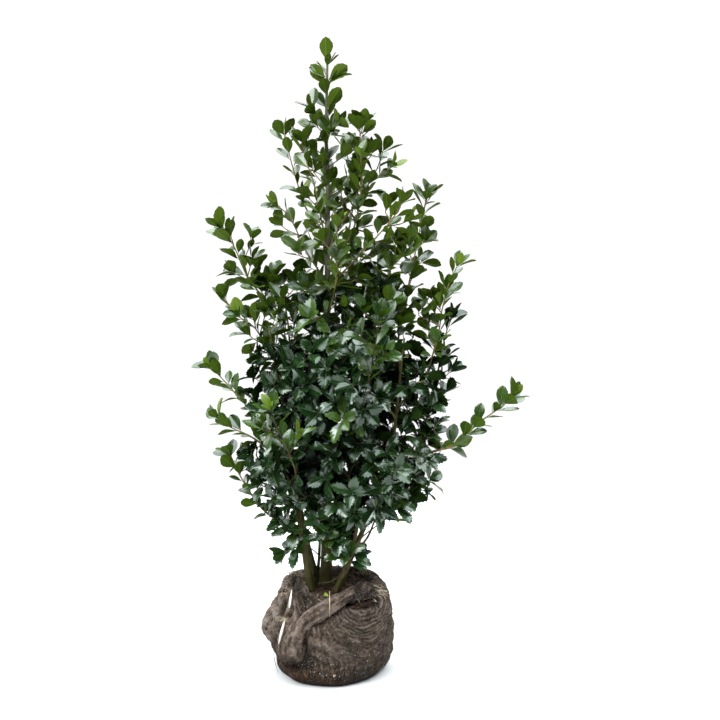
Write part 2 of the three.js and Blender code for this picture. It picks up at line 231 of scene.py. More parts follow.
def resample(p, n):
    s = arclen(p)
    q = np.linspace(0, s[-1], n)
    return np.stack([np.interp(q, s, p[:, k]) for k in range(3)], 1)


def frames(p):
    """Tangent and two turning-free side axes along a polyline."""
    t = norm(np.gradient(p, axis=0))
    ref = np.array([0.0, 1, 0]) if abs(t[0][2]) > 0.8 else UP
    u = norm(np.cross(ref, t[0]))
    us = [u]
    for k in range(1, len(p)):
        u = us[-1] - t[k] * (us[-1] @ t[k])
        us.append(u / max(np.linalg.norm(u), 1e-9))
    u = np.array(us)
    return t, u, np.cross(t, u)


# =====================================================================================
# mesh builder: joined pieces from arrays
# =====================================================================================
class Soup:
    def __init__(self):
        self.v, self.f3, self.f4, self.m3, self.m4, self.n = [], [], [], [], [], 0

    def add(self, v, f, m=0):
        f = np.asarray(f, np.int64)
        mm = np.full(len(f), m, np.int32) if np.isscalar(m) else np.asarray(m, np.int32)
        (self.f3 if f.shape[1] == 3 else self.f4).append(f + self.n)
        (self.m3 if f.shape[1] == 3 else self.m4).append(mm)
        self.v.append(np.asarray(v, float))
        self.n += len(v)

    def add_faces_only(self, f, m=0):   # faces over vertices of the last add
        f = np.asarray(f, np.int64)
        base = self.n - len(self.v[-1])
        mm = np.full(len(f), m, np.int32) if np.isscalar(m) else np.asarray(m, np.int32)
        (self.f3 if f.shape[1] == 3 else self.f4).append(f + base)
        (self.m3 if f.shape[1] == 3 else self.m4).append(mm)

    def tris(self):
        return sum(len(f) for f in self.f3) + 2 * sum(len(f) for f in self.f4)

    def build(self, name, materials, smooth=True):
        v = np.vstack(self.v).astype(np.float32)
        f3 = np.vstack(self.f3) if self.f3 else np.zeros((0, 3), np.int64)
        f4 = np.vstack(self.f4) if self.f4 else np.zeros((0, 4), np.int64)
        me = bpy.data.meshes.new(name)
        me.vertices.add(len(v))
        me.vertices.foreach_set("co", v.ravel())
        me.loops.add(len(f3) * 3 + len(f4) * 4)
        me.loops.foreach_set("vertex_index", np.concatenate([f3.ravel(), f4.ravel()]).astype(np.int32))
        me.polygons.add(len(f3) + len(f4))
        starts = np.concatenate([np.arange(len(f3)) * 3, len(f3) * 3 + np.arange(len(f4)) * 4])
        me.polygons.foreach_set("loop_start", starts.astype(np.int32))
        mi = np.concatenate(([np.concatenate(self.m3)] if self.m3 else []) + ([np.concatenate(self.m4)] if self.m4 else []))
        me.polygons.foreach_set("material_index", mi.astype(np.int32))
        me.polygons.foreach_set("use_smooth", np.full(len(mi), smooth, bool))
        me.update(calc_edges=True)
        me.validate()
        for m in materials:
            me.materials.append(m)
        o = bpy.data.objects.new(name, me)
        scene.collection.objects.link(o)
        return o


def tube_mesh(p, r, sides, cap0=False, cap1=True, relief=None):
    """Verts and quads of a tube along p with radii r. relief(theta, s, pos) adds to the radius."""
    t, u, v = frames(p)
    a = np.linspace(0, 2 * np.pi, sides, endpoint=False)
    ca, sa = np.cos(a), np.sin(a)
    s = arclen(p)
    dirs = ca[None, :, None] * u[:, None] + sa[None, :, None] * v[:, None]
    rr = np.repeat(np.asarray(r, float)[:, None], sides, 1)
    pos = p[:, None] + dirs * rr[..., None]
    if relief is not None:
        rr = rr + relief(np.broadcast_to(a, rr.shape), np.broadcast_to(s[:, None], rr.shape), pos)
        pos = p[:, None] + dirs * rr[..., None]
    n = len(p)
    verts = pos.reshape(-1, 3)
    i = np.arange(n - 1)[:, None] * sides
    j = np.arange(sides)[None]
    j2 = (j + 1) % sides
    quads = np.stack([i + j, i + j2, i + sides + j2, i + sides + j], -1).reshape(-1, 4)
    tris = []
    if cap1:
        verts = np.vstack([verts, p[-1] + t[-1] * r[-1] * 0.6])
        k = len(verts) - 1
        b = (n - 1) * sides
        tris += [[b + q, b + (q + 1) % sides, k] for q in range(sides)]
    if cap0:
        verts = np.vstack([verts, p[0]])
        k = len(verts) - 1
        tris += [[(q + 1) % sides, q, k] for q in range(sides)]
    return verts, quads, np.array(tris, np.int64).reshape(-1, 3)


def add_tube(soup, p, r, sides, m=0, **kw):
    v, q, t = tube_mesh(np.asarray(p), np.asarray(r), sides, **kw)
    soup.add(v, q, m)
    if len(t):
        soup.add_faces_only(t, m)


# =====================================================================================
# materials
# =====================================================================================
def new_material(name):
    m = bpy.data.materials.new(name)
    m.use_nodes = True
    nt = m.node_tree
    b = nt.nodes["Principled BSDF"]
    return m, nt, b


def leaf_material(name, color, rough, coat=0.0, coat_rough=0.3, spec=0.5, tint=(1.0, 1.0, 1.0)):
    m, nt, b = new_material(name)
    b.inputs["Base Color"].default_value = (*color, 1)
    b.inputs["Roughness"].default_value = rough
    b.inputs["Specular IOR Level"].default_value = spec
    b.inputs["Coat Weight"].default_value = coat
    b.inputs["Coat Roughness"].default_value = coat_rough
    b.inputs["Coat IOR"].default_value = 1.6
    b.inputs["Specular Tint"].default_value = (*tint, 1)
    return m


def ramp(nt, stops, src=None):
    r = nt.nodes.new("ShaderNodeValToRGB")
    els = r.color_ramp.elements
    while len(els) < len(stops):
        els.new(0.5)
    for e, (pos, col) in zip(els, stops):
        e.position = pos
        e.color = (*col, 1) if len(col) == 3 else col
    if src is not None:
        nt.links.new(src, r.inputs[0])
    return r


def noise(nt, coord, scale, detail=4, rough=0.6, dist=0.0, stretch=None, kind="ShaderNodeTexNoise"):
    n = nt.nodes.new(kind)
    n.inputs["Scale"].default_value = scale
    if kind == "ShaderNodeTexNoise":
        n.inputs["Detail"].default_value = detail
        n.inputs["Roughness"].default_value = rough
        n.inputs["Distortion"].default_value = dist
    src = coord
    if stretch is not None:
        mp = nt.nodes.new("ShaderNodeMapping")
        mp.inputs["Scale"].default_value = stretch[:3]
        if len(stretch) > 3:
            mp.inputs["Rotation"].default_value = stretch[3:]
        nt.links.new(coord, mp.inputs["Vector"])
        src = mp.outputs[0]
    nt.links.new(src, n.inputs["Vector"])
    return n


def mix_color(nt, fac, a, b, mode='MIX'):
    n = nt.nodes.new("ShaderNodeMix")
    n.data_type = 'RGBA'
    n.blend_type = mode
    if hasattr(fac, "is_output") or not isinstance(fac, (int, float)):
        nt.links.new(fac, n.inputs[0])
    else:
        n.inputs[0].default_value = fac
    for sock, val in ((n.inputs[6], a), (n.inputs[7], b)):
        if isinstance(val, tuple):
            sock.default_value = (*val, 1)
        else:
            nt.links.new(val, sock)
    return n.outputs[2]


def math_node(nt, op, a, b=None):
    n = nt.nodes.new("ShaderNodeMath")
    n.operation = op
    for sock, val in ((n.inputs[0], a), (n.inputs[1], b)):
        if val is None:
            continue
        if isinstance(val, (int, float)):
            sock.default_value = val
        else:
            nt.links.new(val, sock)
    return n.outputs[0]


def bump(nt, b, height, strength, distance):
    n = nt.nodes.new("ShaderNodeBump")
    n.inputs["Strength"].default_value = strength
    n.inputs["Distance"].default_value = distance
    nt.links.new(height, n.inputs["Height"])
    nt.links.new(n.outputs[0], b.inputs["Normal"])


def bark_material(name, dark, mid, light, moss, moss_amount=0.5, scale=1.0):
    m, nt, b = new_material(name)
    tc = nt.nodes.new("ShaderNodeTexCoord").outputs["Object"]
    big = noise(nt, tc, 38 * scale, 4, 0.6)
    streak = noise(nt, tc, 120 * scale, 5, 0.65, 0.4, (1, 1, 0.22))
    col = ramp(nt, [(0.30, dark), (0.5, mid), (0.72, light)], streak.outputs["Fac"])
    mossy = ramp(nt, [(0.5 - 0.25 * moss_amount, (0, 0, 0)), (0.75 - 0.25 * moss_amount, (1, 1, 1))], big.outputs["Fac"])
    c = mix_color(nt, mossy.outputs[0], col.outputs[0], moss)
    speck = noise(nt, tc, 520 * scale, 2, 0.5)
    sp = ramp(nt, [(0.62, (0, 0, 0)), (0.72, (1, 1, 1))], speck.outputs["Fac"])
    c = mix_color(nt, math_node(nt, 'MULTIPLY', sp.outputs[0], 0.35), c, light)
    nt.links.new(c, b.inputs["Base Color"])
    b.inputs["Roughness"].default_value = 0.72
    b.inputs["Specular IOR Level"].default_value = 0.18
    h = math_node(nt, 'ADD', streak.outputs["Fac"], math_node(nt, 'MULTIPLY', speck.outputs["Fac"], 0.4))
    bump(nt, b, h, 0.7, 0.0016)
    return m


# =====================================================================================
# limbs, as the CAD has them, then carried on through the leaves
# =====================================================================================
stems = {
    "trunk": ((-7, 0), (-2, 0, 1556), -5, 14.2, 2.3, 0.12),
    "stem_left_front": ((-44, -42), (-88, -44, 520), -12, 8.6, 5.0, 0.24),
    "stem_left_back": ((-26, 14), (-90, 44, 500), -13, 6.4, 4.2, 0.20),
    "stem_right_front": ((20, -58), (126, -90, 470), 3, 7.4, 4.8, 0.12),
    "stem_right_back": ((34, 34), (78, 62, 500), 8, 7.5, 5.5, 0.15),
}
limbs = {}          # name -> (points, radii)
for name, (foot, tip, bow, r0, r1, flare) in stems.items():
    p = arc((*foot, 214), tip, bow, 0, 60 if name == "trunk" else 24)
    s = arclen(p)
    r = (r0 + (r1 - r0) * np.linspace(0, 1, len(p))) * (1 + flare * np.exp(-s / 0.06)) * MM
    limbs[name] = (p, r)


def carry_on(name, end, end_dir, r_end, n=22):
    """A stem goes on from its CAD tip into the leaves as a bough."""
    p, r = limbs[name]
    t = norm(p[-1] - p[-3])
    e = np.array(end) * MM
    d = np.linalg.norm(e - p[-1])
    q = hermite(p[-1], t * d, e, norm(np.array(end_dir, float)) * d, n)[1:]
    return np.vstack([p, q]), np.concatenate([r, np.linspace(r[-1], r_end * MM, n)[1:]])


limbs["stem_left_front"] = carry_on("stem_left_front", (-138, -96, 850), (-0.2, -0.25, 1), 2.2)
limbs["stem_left_back"] = carry_on("stem_left_back", (-112, 128, 900), (-0.2, 0.2, 1), 2.0)
limbs["stem_right_front"] = carry_on("stem_right_front", (182, -108, 840), (0.15, -0.1, 1), 2.2)
limbs["stem_right_back"] = carry_on("stem_right_back", (150, 132, 880), (0.2, 0.2, 1), 2.2)

# long open limbs with bends of their own: control points in mm, foot and tip radius
open_limbs = {
    "limb_right_long": ([(92, -72, 415), (150, -50, 496), (200, -44, 540), (237, -45, 552), (271, -46, 563), (318, -50, 577), (358, -54, 623), (418, -58, 668), (447, -60, 694)], 5.2, 1.3),
    "limb_low_right": ([(53, -72, 300), (80, -80, 332), (99, -80, 358), (119, -70, 400), (156, -60, 427), (176, -56, 432)], 3.8, 1.2),
    "limb_low_green": ([(50, -74, 290), (64, -92, 322), (84, -95, 358), (136, -85, 396), (166, -72, 424)], 2.6, 1.0),
    "limb_front_right": ([(50, -72, 292), (64, -84, 345), (71, -90, 393), (71, -95, 448), (62, -99, 480), (34, -98, 535), (14, -92, 580)], 5.6, 2.6),
    "limb_low_left": ([(-64, -43, 345), (-90, -42, 382), (-129, -50, 392), (-161, -50, 416), (-190, -44, 453), (-220, -36, 501), (-241, -34, 546)], 4.4, 1.1),
    "limb_left_lower": ([(-88, -44, 470), (-120, -46, 535), (-160, -46, 575), (-196, -50, 600), (-239, -58, 621), (-266, -62, 643)], 4.0, 1.1),
    "limb_left_middle": ([(-84, 10, 470), (-118, 4, 560), (-151, 2, 605), (-179, 10, 639), (-214, 16, 674), (-252, 20, 716), (-288, 22, 755)], 4.6, 1.2),
}
for name, (pts, r0, r1) in open_limbs.items():
    p = catmull(np.array(pts, float) * MM, 8)
    limbs[name] = (p, np.linspace(r0, r1, len(p)) * MM)

# outlying shoots: each goes up the middle of its CAD mass, met by a limb that rises from the wood below
routes = {
    "leaves_top_left_outer": [(-63, 20, 1170), (-80, 26, 1227), (-97, 30, 1290), (-107, 30, 1334)],
    "leaves_top_left_inner": [(-22, -20, 1150), (-38, -30, 1217), (-50, -34, 1262), (-62, -34, 1312)],
    "leaves_top_left_side": [(-62, -22, 1062), (-77, -30, 1098), (-100, -44, 1138), (-122, -50, 1156)],
    "leaves_top_right_outer": [(40, 8, 1128), (78, 14, 1180), (112, 20, 1240), (134, 24, 1296)],
    "leaves_top_right_middle": [(61, -20, 1097), (78, -34, 1171), (82, -42, 1255), (79, -42, 1340)],
    "leaves_top_right_inner": [(56, 22, 1128), (62, 38, 1201), (50, 42, 1262), (43, 42, 1300)],
    "leaves_top_right_side": [(75, -60, 1034), (126, -80, 1090), (160, -84, 1130), (176, -84, 1160)],
    "leaves_left_big": [(-126, 0, 905), (-166, 0, 944), (-202, -2, 992), (-234, -4, 1066), (-256, -4, 1105)],
    "leaves_left_upper": [(-135, -32, 786), (-158, -36, 826), (-182, -40, 866), (-224, -44, 895), (-250, -44, 935)],
    "leaves_right_tall": [(176, 6, 850), (190, 26, 911), (205, 30, 993), (215, 32, 1047), (228, 34, 1120), (248, 34, 1186)],
    "leaves_right_outer": [(250, -20, 770), (268, -26, 850), (278, -28, 907), (294, -32, 968), (314, -34, 1012)],
    "leaves_right_edge": [(236, 18, 610), (262, 22, 690), (280, 12, 790), (292, 10, 850), (306, 10, 884)],
    "leaves_low_left": [(-74, -44, 322), (-92, -48, 316), (-108, -50, 309)],
}
shoots = {
    "leaves_top_back": ((-6, 90, 990), (-20, 158, 1290), 10, 0),
    "leaves_top_front": ((14, -90, 950), (20, -136, 1150), -8, 0),
    "leaves_back_left": ((-96, 178, 700), (-170, 302, 930), 10, 14),
    "leaves_back_right": ((126, 176, 610), (186, 296, 800), 8, 12),
    "leaves_front_left": ((-82, -186, 560), (-128, -292, 716), 8, 12),
    "leaves_front_right": ((98, -184, 740), (140, -284, 930), 6, 12),
}

print("scene: limbs ready")

# =====================================================================================
# the growing rule
# =====================================================================================
rng = np.random.default_rng(20611)


class Plant:
    """Nodes of wood: place, parent, way along, distance from the ground, radius if fixed."""

    def __init__(self):
        self.p, self.par, self.t, self.path, self.fix = [], [], [], [], []
        self.chains = []

    def chain(self, pts, parent, radii=None, kind="twig"):
        t = norm(np.gradient(pts, axis=0))
        ids = []
        first = 0
        for k in range(first, len(pts)):
            par = parent if k == 0 else ids[-1]
            base = self.path[par] + np.linalg.norm(pts[k] - self.p[par]) if par >= 0 else 0.0
            self.p.append(pts[k])
            self.par.append(par)
            self.t.append(t[k])
            self.path.append(base)
            self.fix.append(radii[k] if radii is not None else 0.0)
            ids.append(len(self.p) - 1)
        self.chains.append({"ids": ids, "kind": kind, "parent": parent})
        return ids


plant = Plant()
main_ids = []
for name in list(stems):
    p, r = limbs[name]
    main_ids += plant.chain(resample(p, 60 if name == "trunk" else 34), -1, np.interp(np.linspace(0, 1, 60 if name == "trunk" else 34), np.linspace(0, 1, len(r)), r), name)
for name in open_limbs:
    p, r = limbs[name]
    P = np.array([plant.p[i] for i in main_ids])
    par = main_ids[int(np.argmin(np.linalg.norm(P - p[0], axis=1)))]
    q = np.vstack([plant.p[par], p]) if np.linalg.norm(plant.p[par] - p[0]) > 0.004 else p
    q = resample(q, 30)
    plant.chain(q, par, np.interp(np.linspace(0, 1, 30), np.linspace(0, 1, len(r)), r), name)

all_main = list(range(len(plant.p)))


def best_parent(s, d, ids, drop=0.06, reach=0.55):
    """The wood below from which a limb would rise to s heading along d."""
    P = np.array([plant.p[i] for i in ids])
    v = s - P
    L = np.linalg.norm(v, axis=1)
    c = (v @ d) / np.maximum(L, 1e-6)
    rise = v[:, 2]
    cost = L + 0.25 * np.maximum(0, 0.75 - c) + 2.0 * np.maximum(0, drop - rise)
    cost = cost + 0.1 * (np.hypot(v[:, 0], v[:, 1]) > rise * 1.6)
    return ids[int(np.argmin(cost))]


shoot_info = {}
for name in list(routes) + list(shoots):
    if name in routes:
        spine = resample(catmull(np.array(routes[name], float) * MM, 8), 16)
    else:
        a, b, bow, lift = shoots[name]
        spine = arc(a, b, bow, lift, 14)
        spine = resample(spine[arclen(spine) < arclen(spine)[-1] - 0.034], 14)
    d = norm(spine[2] - spine[0])
    low = spine[0][2] < 0.45
    par = best_parent(spine[0], d, all_main, 0.02 if low else 0.09)
    p0, t0 = plant.p[par], plant.t[par]
    L = np.linalg.norm(spine[0] - p0)
    way = norm(0.55 * norm(spine[0] - p0) + 0.45 * t0)
    link = hermite(p0, way * L, spine[0], d * L, max(4, int(L / 0.02) + 2))
    pts = np.vstack([link, spine[1:]])
    wob = np.stack([fbm(pts + 3.1, 14, 2, 5 + len(name)), fbm(pts + 7.7, 14, 2, 9), fbm(pts + 1.3, 14, 2, 3)], 1)
    pts[1:] += wob[1:] * 0.004 * np.minimum(1, arclen(pts)[1:, None] / 0.08)
    n = max(12, int(arclen(pts)[-1] / 0.016))
    pts = resample(pts, n)
    ids = plant.chain(pts, par, None, name)
    shoot_info[name] = (ids, arclen(spine)[-1] * 1.06)
    all_main += ids[:int(len(ids) * 0.75)]

print("scene: shoots ready", len(plant.p))

# ---- tips of the body, spread through its masses ------------------------------------
body = [n for n in frame["nodes"] if n.startswith(("leaves_low_1", "leaves_low_2", "leaves_low_3", "leaves_low_4",
                                                   "leaves_middle_", "leaves_high_", "leaves_top_1", "leaves_top_2"))]
solid_names = [n for n in frame["nodes"] if n.startswith("leaves")]


def tree_of(o):
    me = o.data
    v = [tuple(x.co) for x in me.vertices]
    return BVHTree.FromPolygons(v, [tuple(p.vertices) for p in me.polygons])


trees = {n: tree_of(frame["nodes"][n]) for n in solid_names}


def inside(tree, p):
    d = Vector((0.31, 0.17, 0.93)).normalized()
    o, hits = Vector(p), 0
    while hits < 40:
        loc, nrm, idx, dist = tree.ray_cast(o, d)
        if loc is None:
            break
        hits += 1
        o = loc + d * 1e-5
    return hits % 2 == 1


def outer_depth(p, d, reach=0.4):
    """How far from p along d the leaf masses still go on."""
    far = 0.0
    dv = Vector(d)
    for n in body:
        o, gone = Vector(p), 0.0
        for _ in range(6):
            loc, nrm, idx, dist = trees[n].ray_cast(o, dv, reach - gone)
            if loc is None:
                break
            gone += dist + 1e-5
            far = max(far, gone)
            o = loc + dv * 1e-5
    return far


axis_x = 0.018
tips = []
lo = np.array([min(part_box(n)[0][k] for n in body) for k in range(3)])
hi = np.array([max(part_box(n)[1][k] for n in body) for k in range(3)])
MIN_GAP = 0.054
tries = 0
while tries < 60000 and len(tips) < 380:
    tries += 1
    p = lo + rng.random(3) * (hi - lo)
    if tips and np.min(np.linalg.norm(np.array(tips)[:, :3] - p, axis=1)) < MIN_GAP * (0.8 + 0.5 * rng.random()):
        continue
    if not any(inside(trees[n], p) for n in body):
        continue
    out = np.array([p[0] - axis_x, p[1], 0.0])
    h = np.linalg.norm(out)
    out = norm(out / max(h, 0.02) * 0.85 + np.array([0, 0, 0.35]))
    depth = outer_depth(p, out)
    if depth < 0.024:
        continue
    if depth > 0.075 and rng.random() > 0.34:
        continue
    tips.append(np.array([*p, depth]))
tips = np.array(tips)
deep_of = {tuple(np.round(t[:3], 6)): t[3] for t in tips}
print("scene: tips", len(tips), "tries", tries)

P0 = np.array([plant.p[i] for i in all_main])
order = np.argsort([np.min(np.linalg.norm(P0 - t[:3], axis=1)) for t in tips])
twig_info = []
grow_ids = list(all_main)
grow_ids = [i for i in grow_ids if plant.p[i][2] > 0.36]
GP = np.array([plant.p[i] for i in grow_ids])
GT = np.array([plant.t[i] for i in grow_ids])
GL = np.array([plant.path[i] for i in grow_ids])
for k in order:
    p = tips[k][:3]
    out_h = norm(np.array([p[0] - axis_x, p[1], 0.0]))
    upness = np.interp(p[2], [0.40, 0.62, 0.85, 1.1], [0.10, 0.35, 0.65, 1.0])
    end_dir = norm(out_h * 0.75 + UP * upness + rng.normal(0, 0.28, 3))
    v = p - GP
    L = np.linalg.norm(v, axis=1)
    c = np.sum(v * GT, 1) / np.maximum(L, 1e-6)
    back = v[:, 2]
    cost = L + 0.10 * GL + 0.10 * np.maximum(0, 0.35 - c) + 0.9 * np.maximum(0, -back - 0.01) + 0.5 * np.maximum(0, 0.02 - L)
    j = int(np.argmin(cost))
    par = grow_ids[j]
    p0, t0 = plant.p[par], plant.t[par]
    L = np.linalg.norm(p - p0)
    way = norm(0.6 * norm(p - p0) + 0.35 * t0 + 0.15 * UP)
    n = max(4, int(L / 0.014) + 2)
    pts = hermite(p0, way * L * 0.9, p, end_dir * L * 0.9, n)
    ids = plant.chain(pts, par, None, "twig")
    twig_info.append((ids, p))
    grow_ids += ids[1:]
    GP = np.vstack([GP, pts[1:]])
    GT = np.vstack([GT, [plant.t[i] for i in ids[1:]]])
    GL = np.concatenate([GL, [plant.path[i] for i in ids[1:]]])

# ---- thickness: wood carries what grows beyond it -----------------------------------
N = len(plant.p)
PP = np.array(plant.p)
PAR = np.array(plant.par)
load = np.zeros(N)
kids = np.zeros(N, int)
for i in range(N):
    if PAR[i] >= 0:
        kids[PAR[i]] += 1
load[kids == 0] = 1.0
for i in range(N - 1, -1, -1):
    if PAR[i] >= 0:
        load[PAR[i]] += load[i]
rad = 0.00105 * np.maximum(load, 1) ** 0.40
FIX = np.array(plant.fix)
rad = np.where(FIX > 0, FIX, rad)
print("scene: wood nodes", N)

# =====================================================================================
# leaves
# =====================================================================================
def leaf_shape(seed, teeth=4, width=0.62, fold=0.2, bend=0.3, arch=0.05, wave=0.015, twist=0.0, belly=0.55, round_=0.75,
               prick=0.03, notch=0.07, under_rib=True):
    """A toothed leaf of unit length: x across, y along, z up. Upper and under faces are
    separate sheets a little apart, with a pale rib down the middle."""
    r = np.random.default_rng(seed)
    p = math.log(0.5) / math.log(belly)

    def full(t):
        return width / 2 * math.sin(math.pi * t ** p) ** round_

    rows_ = [(0.0, 0.028, 0.0), (0.09, full(0.10) * 0.92, 0.0), (0.21, full(0.21), 0.0)]
    first, last = 0.34, 0.90
    for i in range(teeth):
        t = first + (last - first) * (i + 0.2 * (r.random() - 0.5)) / max(teeth - 1, 1)
        rows_.append((t, full(t) * (1 + 0.25 * notch) + prick * 0.45, prick))
        t2 = t + 0.030
        rows_.append((t2, full(t2) * (1 - notch), 0.0))
    rows_.append((1.0, 0.006, 0.0))
    ts, edge, shift = (np.array([q[k] for q in rows_]) for k in range(3))
    phase = r.random() * 6.28

    def surface(cols, under):
        out = []
        for t, e, sh in zip(ts, edge, shift):
            for c in cols:
                rib = 0 < abs(c) < 0.1
                mid = c == 0
                x = 0.0 if mid else np.sign(c) * 0.014 * (1 - 0.6 * t) if rib else c * e
                ax = abs(x)
                y = t + (sh if abs(c) == 1 else 0.0)
                z = fold * ax + arch * math.sin(math.pi * min(ax / max(e, 1e-3), 1)) * min(1, e / 0.1) * (0 if rib or mid else 1)
                z += wave * math.sin(phase + t * 10 + (1.7 if c > 0 else 0)) * (c ** 2)
                if rib and not under:
                    z -= 0.010
                if under and abs(c) < 1:
                    z -= 0.012
                z += 0.002 if not under and abs(c) == 1 else 0.0
                tw = twist * t
                x2, z2 = x * math.cos(tw) - z * math.sin(tw), x * math.sin(tw) + z * math.cos(tw)
                if abs(bend) > 1e-3:
                    yy, zz = math.sin(bend * y) / bend, -(1 - math.cos(bend * y)) / bend
                else:
                    yy, zz = y, 0.0
                out.append((x2, yy + z2 * math.sin(bend * y), zz + z2 * math.cos(bend * y)))
        return np.array(out)

    rows = len(ts)

    def grid(nc, flip, rib):
        q, mats = [], []
        for i in range(rows - 1):
            for j in range(nc - 1):
                a, b, c2, d = i * nc + j, i * nc + j + 1, (i + 1) * nc + j + 1, (i + 1) * nc + j
                q.append((a, d, c2, b) if flip else (a, b, c2, d))
                mats.append(rib and j == (nc - 2) // 2)
        return np.array(q), np.array(mats)

    up = surface(np.array([-1, -0.55, -0.05, 0.05, 0.55, 1.0]), False)
    ucols = np.array([-1, -0.05, 0.05, 1.0]) if under_rib else np.array([-1, 0.0, 1.0])
    un = surface(ucols, True)
    qu, ru = grid(6, False, True)
    qd, rd = grid(len(ucols), True, under_rib)
    # the stalk: three sides
    a = np.array([0, 2.094, 4.189])
    ring0 = np.stack([0.014 * np.cos(a), np.full(3, -0.13), 0.014 * np.sin(a) - 0.010], 1)
    ring1 = np.stack([0.016 * np.cos(a), np.full(3, 0.03), 0.012 * np.sin(a) - 0.012], 1)
    st = np.vstack([ring0, ring1])
    qs = np.array([(j, (j + 1) % 3, 3 + (j + 1) % 3, 3 + j) for j in range(3)])
    v = np.vstack([up, un, st])
    q = np.vstack([qu, qd + len(up), qs + len(up) + len(un)])
    # 0 upper, 1 upper rib, 2 under, 3 under rib and stalk
    part = np.concatenate([np.where(ru, 1, 0), np.where(rd, 3, 2), np.full(3, 3)])
    return v, q, part


shapes = []
srng = np.random.default_rng(77)
ROUND, TOOTHED = range(0, 8), range(8, 18)
for i in ROUND:         # leaves of the free shoots: broad, blunt, finely toothed
    shapes.append(leaf_shape(100 + i, teeth=4, width=0.59 + 0.08 * srng.random(), fold=0.08 + 0.26 * srng.random(),
                             bend=-0.25 + 0.85 * srng.random(), arch=0.006 + 0.018 * srng.random(), wave=0.004 + 0.010 * srng.random(),
                             twist=srng.normal(0, 0.18), belly=0.56 + 0.05 * srng.random(), round_=0.74, prick=0.012, notch=0.022))
for i in TOOTHED:       # leaves of the body: pointed, with forward teeth, folded along the rib
    shapes.append(leaf_shape(200 + i, teeth=4 if i % 2 else 5, width=0.58 + 0.09 * srng.random(), fold=0.10 + 0.28 * srng.random(),
                             bend=0.20 + 0.75 * srng.random(), arch=0.004 + 0.020 * srng.random(), wave=0.006 + 0.014 * srng.random(),
                             twist=srng.normal(0, 0.20), belly=0.43 + 0.06 * srng.random(), round_=0.93, prick=0.052, notch=0.125, under_rib=False))

# kinds of leaf: upper faces in three shades, under faces in two, and a rib colour.
# 'deep' is painted shade: near-black leaves for the inside of the crown, where shade falls.
# 'open' is painted light: lighter leaves for the low clusters, standing in for the light they catch.
# 'mid' and 'young' are lighter as younger leaves are, and lighter still as painted light shining through them.
# The under faces are paler as holly's are, and painted lighter still for light shining through.
KINDS = {
    "deep": dict(up=[(0.0015, 0.0052, 0.0010), (0.0022, 0.0072, 0.0014), (0.0010, 0.0036, 0.0008)], un=[(0.0026, 0.0070, 0.0012), (0.0034, 0.0088, 0.0016)], rib=(0.006, 0.012, 0.003), rough=0.32, spec=0.20, tint=(0.84, 1.0, 0.86)),
    "dark": dict(up=[(0.0058, 0.0205, 0.0033), (0.0088, 0.0285, 0.0048), (0.0034, 0.0130, 0.0022)], un=[(0.0080, 0.0220, 0.0024), (0.0115, 0.0300, 0.0034)], rib=(0.034, 0.068, 0.017), rough=0.21, spec=0.64, tint=(0.86, 1.0, 0.89)),
    "open": dict(up=[(0.0150, 0.0460, 0.0100), (0.0215, 0.0600, 0.0140), (0.0105, 0.0335, 0.0070)], un=[(0.0200, 0.0480, 0.0046), (0.0280, 0.0620, 0.0070)], rib=(0.060, 0.105, 0.034), rough=0.24, spec=0.80, tint=(0.92, 1.0, 0.95)),
    "mid": dict(up=[(0.0235, 0.0590, 0.0050), (0.0350, 0.0790, 0.0085), (0.0160, 0.0430, 0.0036)], un=[(0.0400, 0.0780, 0.0046), (0.0540, 0.0980, 0.0072)], rib=(0.085, 0.130, 0.026), rough=0.27, spec=0.95, tint=(0.95, 1.0, 1.0)),
    "young": dict(up=[(0.0350, 0.0720, 0.0030), (0.0520, 0.0960, 0.0080), (0.0245, 0.0545, 0.0020)], un=[(0.0580, 0.1020, 0.0068), (0.0780, 0.1260, 0.0140)], rib=(0.125, 0.170, 0.036), rough=0.28, spec=0.90, tint=(0.97, 1.0, 1.0)),
    "fresh": dict(up=[(0.0900, 0.1500, 0.0090), (0.1250, 0.1900, 0.0170), (0.0700, 0.1220, 0.0076)], un=[(0.1020, 0.1700, 0.0130), (0.1350, 0.2050, 0.0200)], rib=(0.20, 0.28, 0.066), rough=0.32, spec=0.50, tint=(0.97, 1.0, 1.0)),
}
leaf_mats = {}
for kind, c in KINDS.items():
    ms = [leaf_material(f"leaf_{kind}_upper_{i}", col, c["rough"], 0.0, 0.3, c["spec"], c["tint"]) for i, col in enumerate(c["up"])]
    # the under faces' colours hold their own paler green and painted light shining through them
    ms += [leaf_material(f"leaf_{kind}_under_{i}", col, 0.65, 0.0, 0.3, 0.05) for i, col in enumerate(c["un"])]
    ms += [leaf_material(f"leaf_{kind}_rib", c["rib"], 0.5, 0.0, 0.3, 0.2)]
    leaf_mats[kind] = ms
MAT_ORDER = [m for kind in KINDS for m in leaf_mats[kind]]
KIND_BASE = {kind: 6 * i for i, kind in enumerate(KINDS)}

leaves = {}     # piece -> list of (shape, origin, axis, normal, length, kind, shade)


def put_leaf(piece, origin, axis, normal, length, kind, shade, r, width=1.0, family=ROUND):
    axis = norm(axis)
    normal = normal - axis * (normal @ axis)
    if np.linalg.norm(normal) < 1e-3:
        normal = np.cross(axis, np.array([1.0, 0, 0]))
    leaves.setdefault(piece, []).append((int(family[int(r.integers(len(family)))]), origin, axis, norm(normal), length, width, kind, shade))


